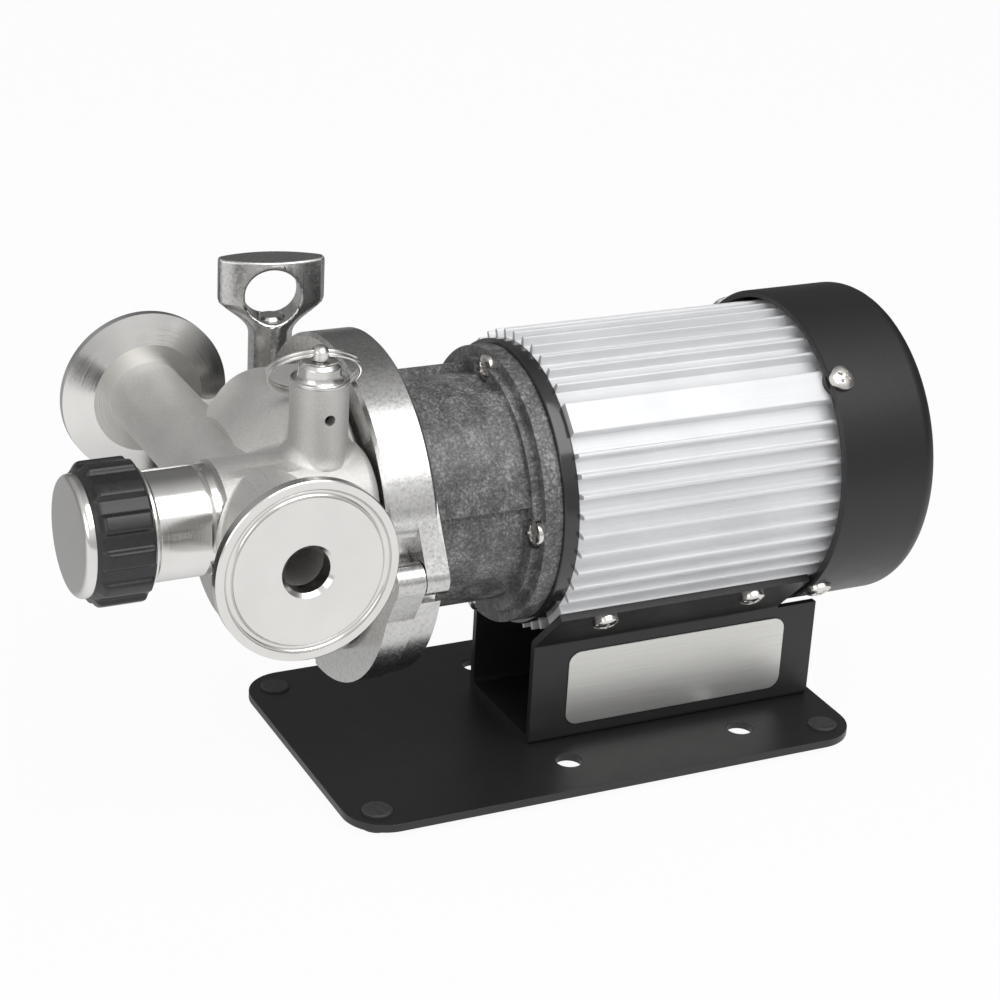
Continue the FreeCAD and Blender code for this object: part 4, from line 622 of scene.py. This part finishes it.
# Turned stainless pieces: ferrules, bonnet, knob, pins and bolts, each with the fine rings of
# the lathe about its own axis.
def turned_steel(name, axis, centre, roughness=0.16, colour=(0.78, 0.77, 0.75)):
    """Rings: one-dimensional noise of the distance from the axis and along it."""
    steel = Finish(name, Metallic=1.0)
    at = steel.place(centre=centre)
    first, second, along = [steel.add("ShaderNodeSeparateXYZ", {}, {0: at}, (axis + step) % 3)
                            for step in (1, 2, 0)]
    radius = (first * first + second * second) ** 0.5
    rings = steel.add("ShaderNodeTexNoise", {"noise_dimensions": "1D"},
                      {"W": radius + along * 0.83, "Scale": 4200.0, "Detail": 2.0})
    smear = steel.noise(70, 3.0)
    steel.set("Base Color", steel.ramp(smear, (0.3, tuple(0.93 * c for c in colour)), (0.7, colour)))
    steel.set("Roughness", roughness + (rings - 0.5) * 0.12 + (smear - 0.5) * 0.08)
    steel.bump(rings, 0.00002)
    return steel


PORT_CENTRE = (-0.1304, 0, 0.097)
VALVE_CENTRE = (0, -0.031, 0.097)
BLEED_CENTRE = (-0.1122, -0.031, 0)
BOLT_CENTRE = (HEAD_CLAMP_X, 0.061, 0)
dress(turned_steel("turned_ports", 1, PORT_CENTRE), "inlet_ferrule", "outlet_ferrule")
dress(turned_steel("turned_valve", 0, VALVE_CENTRE),
      "valve_bonnet", "valve_knob", "valve_spindle", "valve_plug")
TURNED_BLEED = turned_steel("turned_bleed", 2, BLEED_CENTRE, 0.2)
dress(TURNED_BLEED, "bleed_pin")
dress(turned_steel("turned_bolt", 2, BOLT_CENTRE), "swing_bolt", "hinge_pin", "bolt_pin")
dress(turned_steel("drawn_wire", 2, BLEED_CENTRE, 0.2), "bonnet_clip", "pull_ring")


def build_spring():
    """The spring of the bleed valve, as a smooth-shaded copy of the CAD piece with a mesh of its own."""
    mesh = merged_shell("bleed_spring")
    mesh.shade_smooth()
    mesh.materials.append(turned_steel("spring_wire", 2, BLEED_CENTRE, 0.2).data)
    piece = bpy.data.objects.new("coiled_spring", mesh)
    bpy.context.collection.objects.link(piece)
    stand_for(piece, "bleed_spring")
    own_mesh(piece)


build_spring()


# Bleed cap: a machined cap with a wide disc on the boss, a dished shoulder above it and a narrow
# waist with a chamfer, bored for the pull pin.
BLEED_CAP_SECTION = [(-6.0, 1.8), (-6.0, 4.2), (0.0, 4.2), (0.0, 7.9), (0.1, 8.1), (0.8, 8.1), (1.05, 7.95),
                     (1.15, 7.6), (0.85, 7.2), (0.65, 6.9), (0.7, 6.65), (1.1, 6.4), (1.8, 6.1),
                     (2.6, 5.93), (4.2, 5.85), (4.45, 5.8), (4.6, 5.7), (5.35, 4.95), (5.5, 4.8),
                     (5.5, 1.9), (5.4, 1.8)]


def lathe(name, node, section, finish, axis, centre):
    """A section of stations and radii in millimetres, turned about an axis through a centre. It
    closes on itself along the bore."""
    along, radius = np.array(section).T[:, :, None] / 1000
    turn = np.linspace(0, 2 * math.pi, 121)[None, :-1]
    ring = [along + 0 * turn, radius * np.cos(turn), radius * np.sin(turn)]
    grid = np.stack([ring[(step - axis) % 3] + centre[step] for step in range(3)], axis=-1)
    stand_for(mesh_of_grids(name, [grid], finish, close_rows=True), node)


lathe("turned_bleed_cap", "bleed_cap", BLEED_CAP_SECTION, TURNED_BLEED, 2, (*BLEED_CENTRE[:2], 0.1325))


# Pump head: an investment casting, bead blasted to a soft warm grey. Where the tubes and the boss
# run into each other and into the volute, the mould left a round valley, made here as strips.
BLASTED = cast_metal("blasted_casting", (0.70, 0.69, 0.67), 0.60, 1800, 0.00010)
eased("pump_head", 0.0005, BLASTED)
VOLUTE_X, VOLUTE_RADIUS, VOLUTE_FRONT = -0.1116, 0.0413, 0.017
VOLUTE_ROUND, VOLUTE_CORE, VOLUTE_CONE = 0.012, 0.0293, 0.01697
VALVE_RADIUS = 0.0158


def off_volute(at):
    """Distance in metres from the volute, a drum round the shaft: its rim, a round corner about the
    core radius, a 45 degree cone and a flat front."""
    x, rim = at[..., 0] - VOLUTE_X, np.hypot(at[..., 1], at[..., 2] - SHAFT_HEIGHT)
    past = rim - VOLUTE_CORE
    corner = np.hypot(x, past) - VOLUTE_ROUND
    front = np.maximum((past - x - VOLUTE_CONE) / math.sqrt(2), -VOLUTE_FRONT - x)
    return np.where(x > 0, rim - VOLUTE_RADIUS, np.where(past > -x, corner, front))


def off_valve(at):
    """Distance from the round valve body."""
    return np.hypot(at[..., 1] - VALVE_CENTRE[1], at[..., 2] - VALVE_CENTRE[2]) - VALVE_RADIUS


def off_both(at):
    """Distance from the valve body or the volute, whichever is nearer."""
    return np.minimum(off_valve(at), off_volute(at))


def valley(name, axis, centre, radius, ball, other, far, near):
    """The path of a ball that rolls along a cylinder and another surface. Its middle is on the
    cylinder of radius plus ball; for each angle it comes along the axis from far and stops where
    the other surface is one ball away, found by halving. Each section is the arc between the two
    touching points, lifted a little off both, and closed behind by a point in the metal."""
    lift, root, sections, stations, halvings = 0.000015, 0.0003, 160, 400, 24
    line, first, second = [np.eye(3)[(axis + step) % 3] for step in range(3)]

    def middle(turn, along):
        out = np.cos(turn)[..., None] * first + np.sin(turn)[..., None] * second
        return np.array(centre) + along[..., None] * line + (radius + ball) * out, out

    turn = np.linspace(-math.pi, math.pi, 2881)[:-1]
    met = other(middle(turn, np.full_like(turn, near))[0]) < ball
    if met.all():
        turn = turn[::12]
    else:
        turn = np.roll(turn, -np.argmax(met & ~np.roll(met, 1)))[:met.sum()]
        share = (1 - np.cos(np.linspace(0, math.pi, sections))) / 2
        turn = np.unwrap(turn)[np.round(share * (len(turn) - 1)).astype(int)]
    steps = np.linspace(far, near, stations)
    gaps = other(middle(turn[None], steps[:, None] + 0 * turn)[0]) - ball
    hit = np.argmax(gaps < 0, axis=0)
    low, high = steps[np.maximum(hit - 1, 0)], steps[hit]
    for _ in range(halvings):
        half = (low + high) / 2
        inside = other(middle(turn, half)[0]) < ball
        low, high = np.where(inside, low, half), np.where(inside, half, high)
    place, out = middle(turn, high)
    nudges = 1e-6 * np.eye(3)
    slope = np.stack([other(place + nudge) - other(place - nudge) for nudge in nudges], axis=-1)
    slope /= np.linalg.norm(slope, axis=-1, keepdims=True)
    bend = np.arccos(np.clip((out * slope).sum(-1), -1, 1))[None, :, None]
    share = np.linspace(0, 1, 13)[:, None, None]
    arc = (np.sin((1 - share) * bend) * -out + np.sin(share * bend) * -slope) / np.sin(bend)
    strip = place + arc * (ball + lift)
    between = (out + slope) / np.linalg.norm(out + slope, axis=-1, keepdims=True)
    inner = place - between * (ball / np.cos(bend[0] / 2) + root)
    grid = np.concatenate([strip, inner[None]])
    piece = mesh_of_grids(name, [grid], BLASTED, close_rows=True)
    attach(piece, "pump")


valley("boss_valley", 2, BLEED_CENTRE, 0.0080, 0.0034, off_both, far=0.125, near=0.100)
valley("inlet_valley", 1, PORT_CENTRE, 0.0112, 0.0040, off_volute, far=0.055, near=-0.031)
valley("valve_valley", 0, VALVE_CENTRE, VALVE_RADIUS, 0.0030, off_volute, far=-0.142, near=-0.100)
valley("outlet_valley", 1, PORT_CENTRE, 0.0150, 0.0012, off_valve, far=-0.064, near=-0.031)


# Rubber of the head: a white gasket between the clamped ferrules, black rings in the valves, and
# the moulded grip with twelve ribs that is stretched over the knob.
dress(soft_rubber("white_gasket", 0.7, 0.5), "head_gasket")
dress(soft_rubber("black_seal", 0.03, 0.45), "bonnet_seal", "plug_seals", "bleed_seal")


def build_grip():
    """The sleeve as radius over angle and station: a round cone at each end, and twelve ribs whose
    height falls off as smooth steps across and along, so that their edges are soft."""
    front, back, bore, sleeve = -0.1788, -0.1630, 0.0165, 0.0180
    ribs, rib_height, rib_half, rib_radius = 12, 0.00138, 0.00245, 0.0185
    full_turn = 2 * math.pi
    along = np.concatenate([[0, 0], np.linspace(0, 1, 61), [1, 1]])[:, None] * (back - front) + front
    turn = np.linspace(0, full_turn, 481)[None, :-1]
    to_front, to_back = along - front, back - along
    front_cone = 0.0013 * np.clip(1 - to_front / 0.0030, 0, 1) ** 2
    back_cone = 0.0008 * np.clip(1 - to_back / 0.001, 0, 1) ** 2
    across = (np.mod(turn * ribs / full_turn + 0.5, 1) - 0.5) * full_turn * rib_radius / ribs
    side = 1 / (1 + np.exp((np.abs(across) - rib_half) / 0.00022))
    end = 1 / (1 + np.exp((0.0016 - to_front) / 0.00035)) / (1 + np.exp((0.0008 - to_back) / 0.0002))
    radius = sleeve - front_cone - back_cone + rib_height * side * end
    radius[[0, -1]] = bore
    radius[1], radius[-2] = radius[2] - 0.0003, radius[-3] - 0.0003
    grid = round_x(along, radius, turn, y=VALVE_CENTRE[1], z=VALVE_CENTRE[2])
    rubber = soft_rubber("grip_rubber", 0.020, 0.30)
    stand_for(mesh_of_grids("ribbed_grip", [grid], rubber, close_rows=True), "knob_grip")


build_grip()
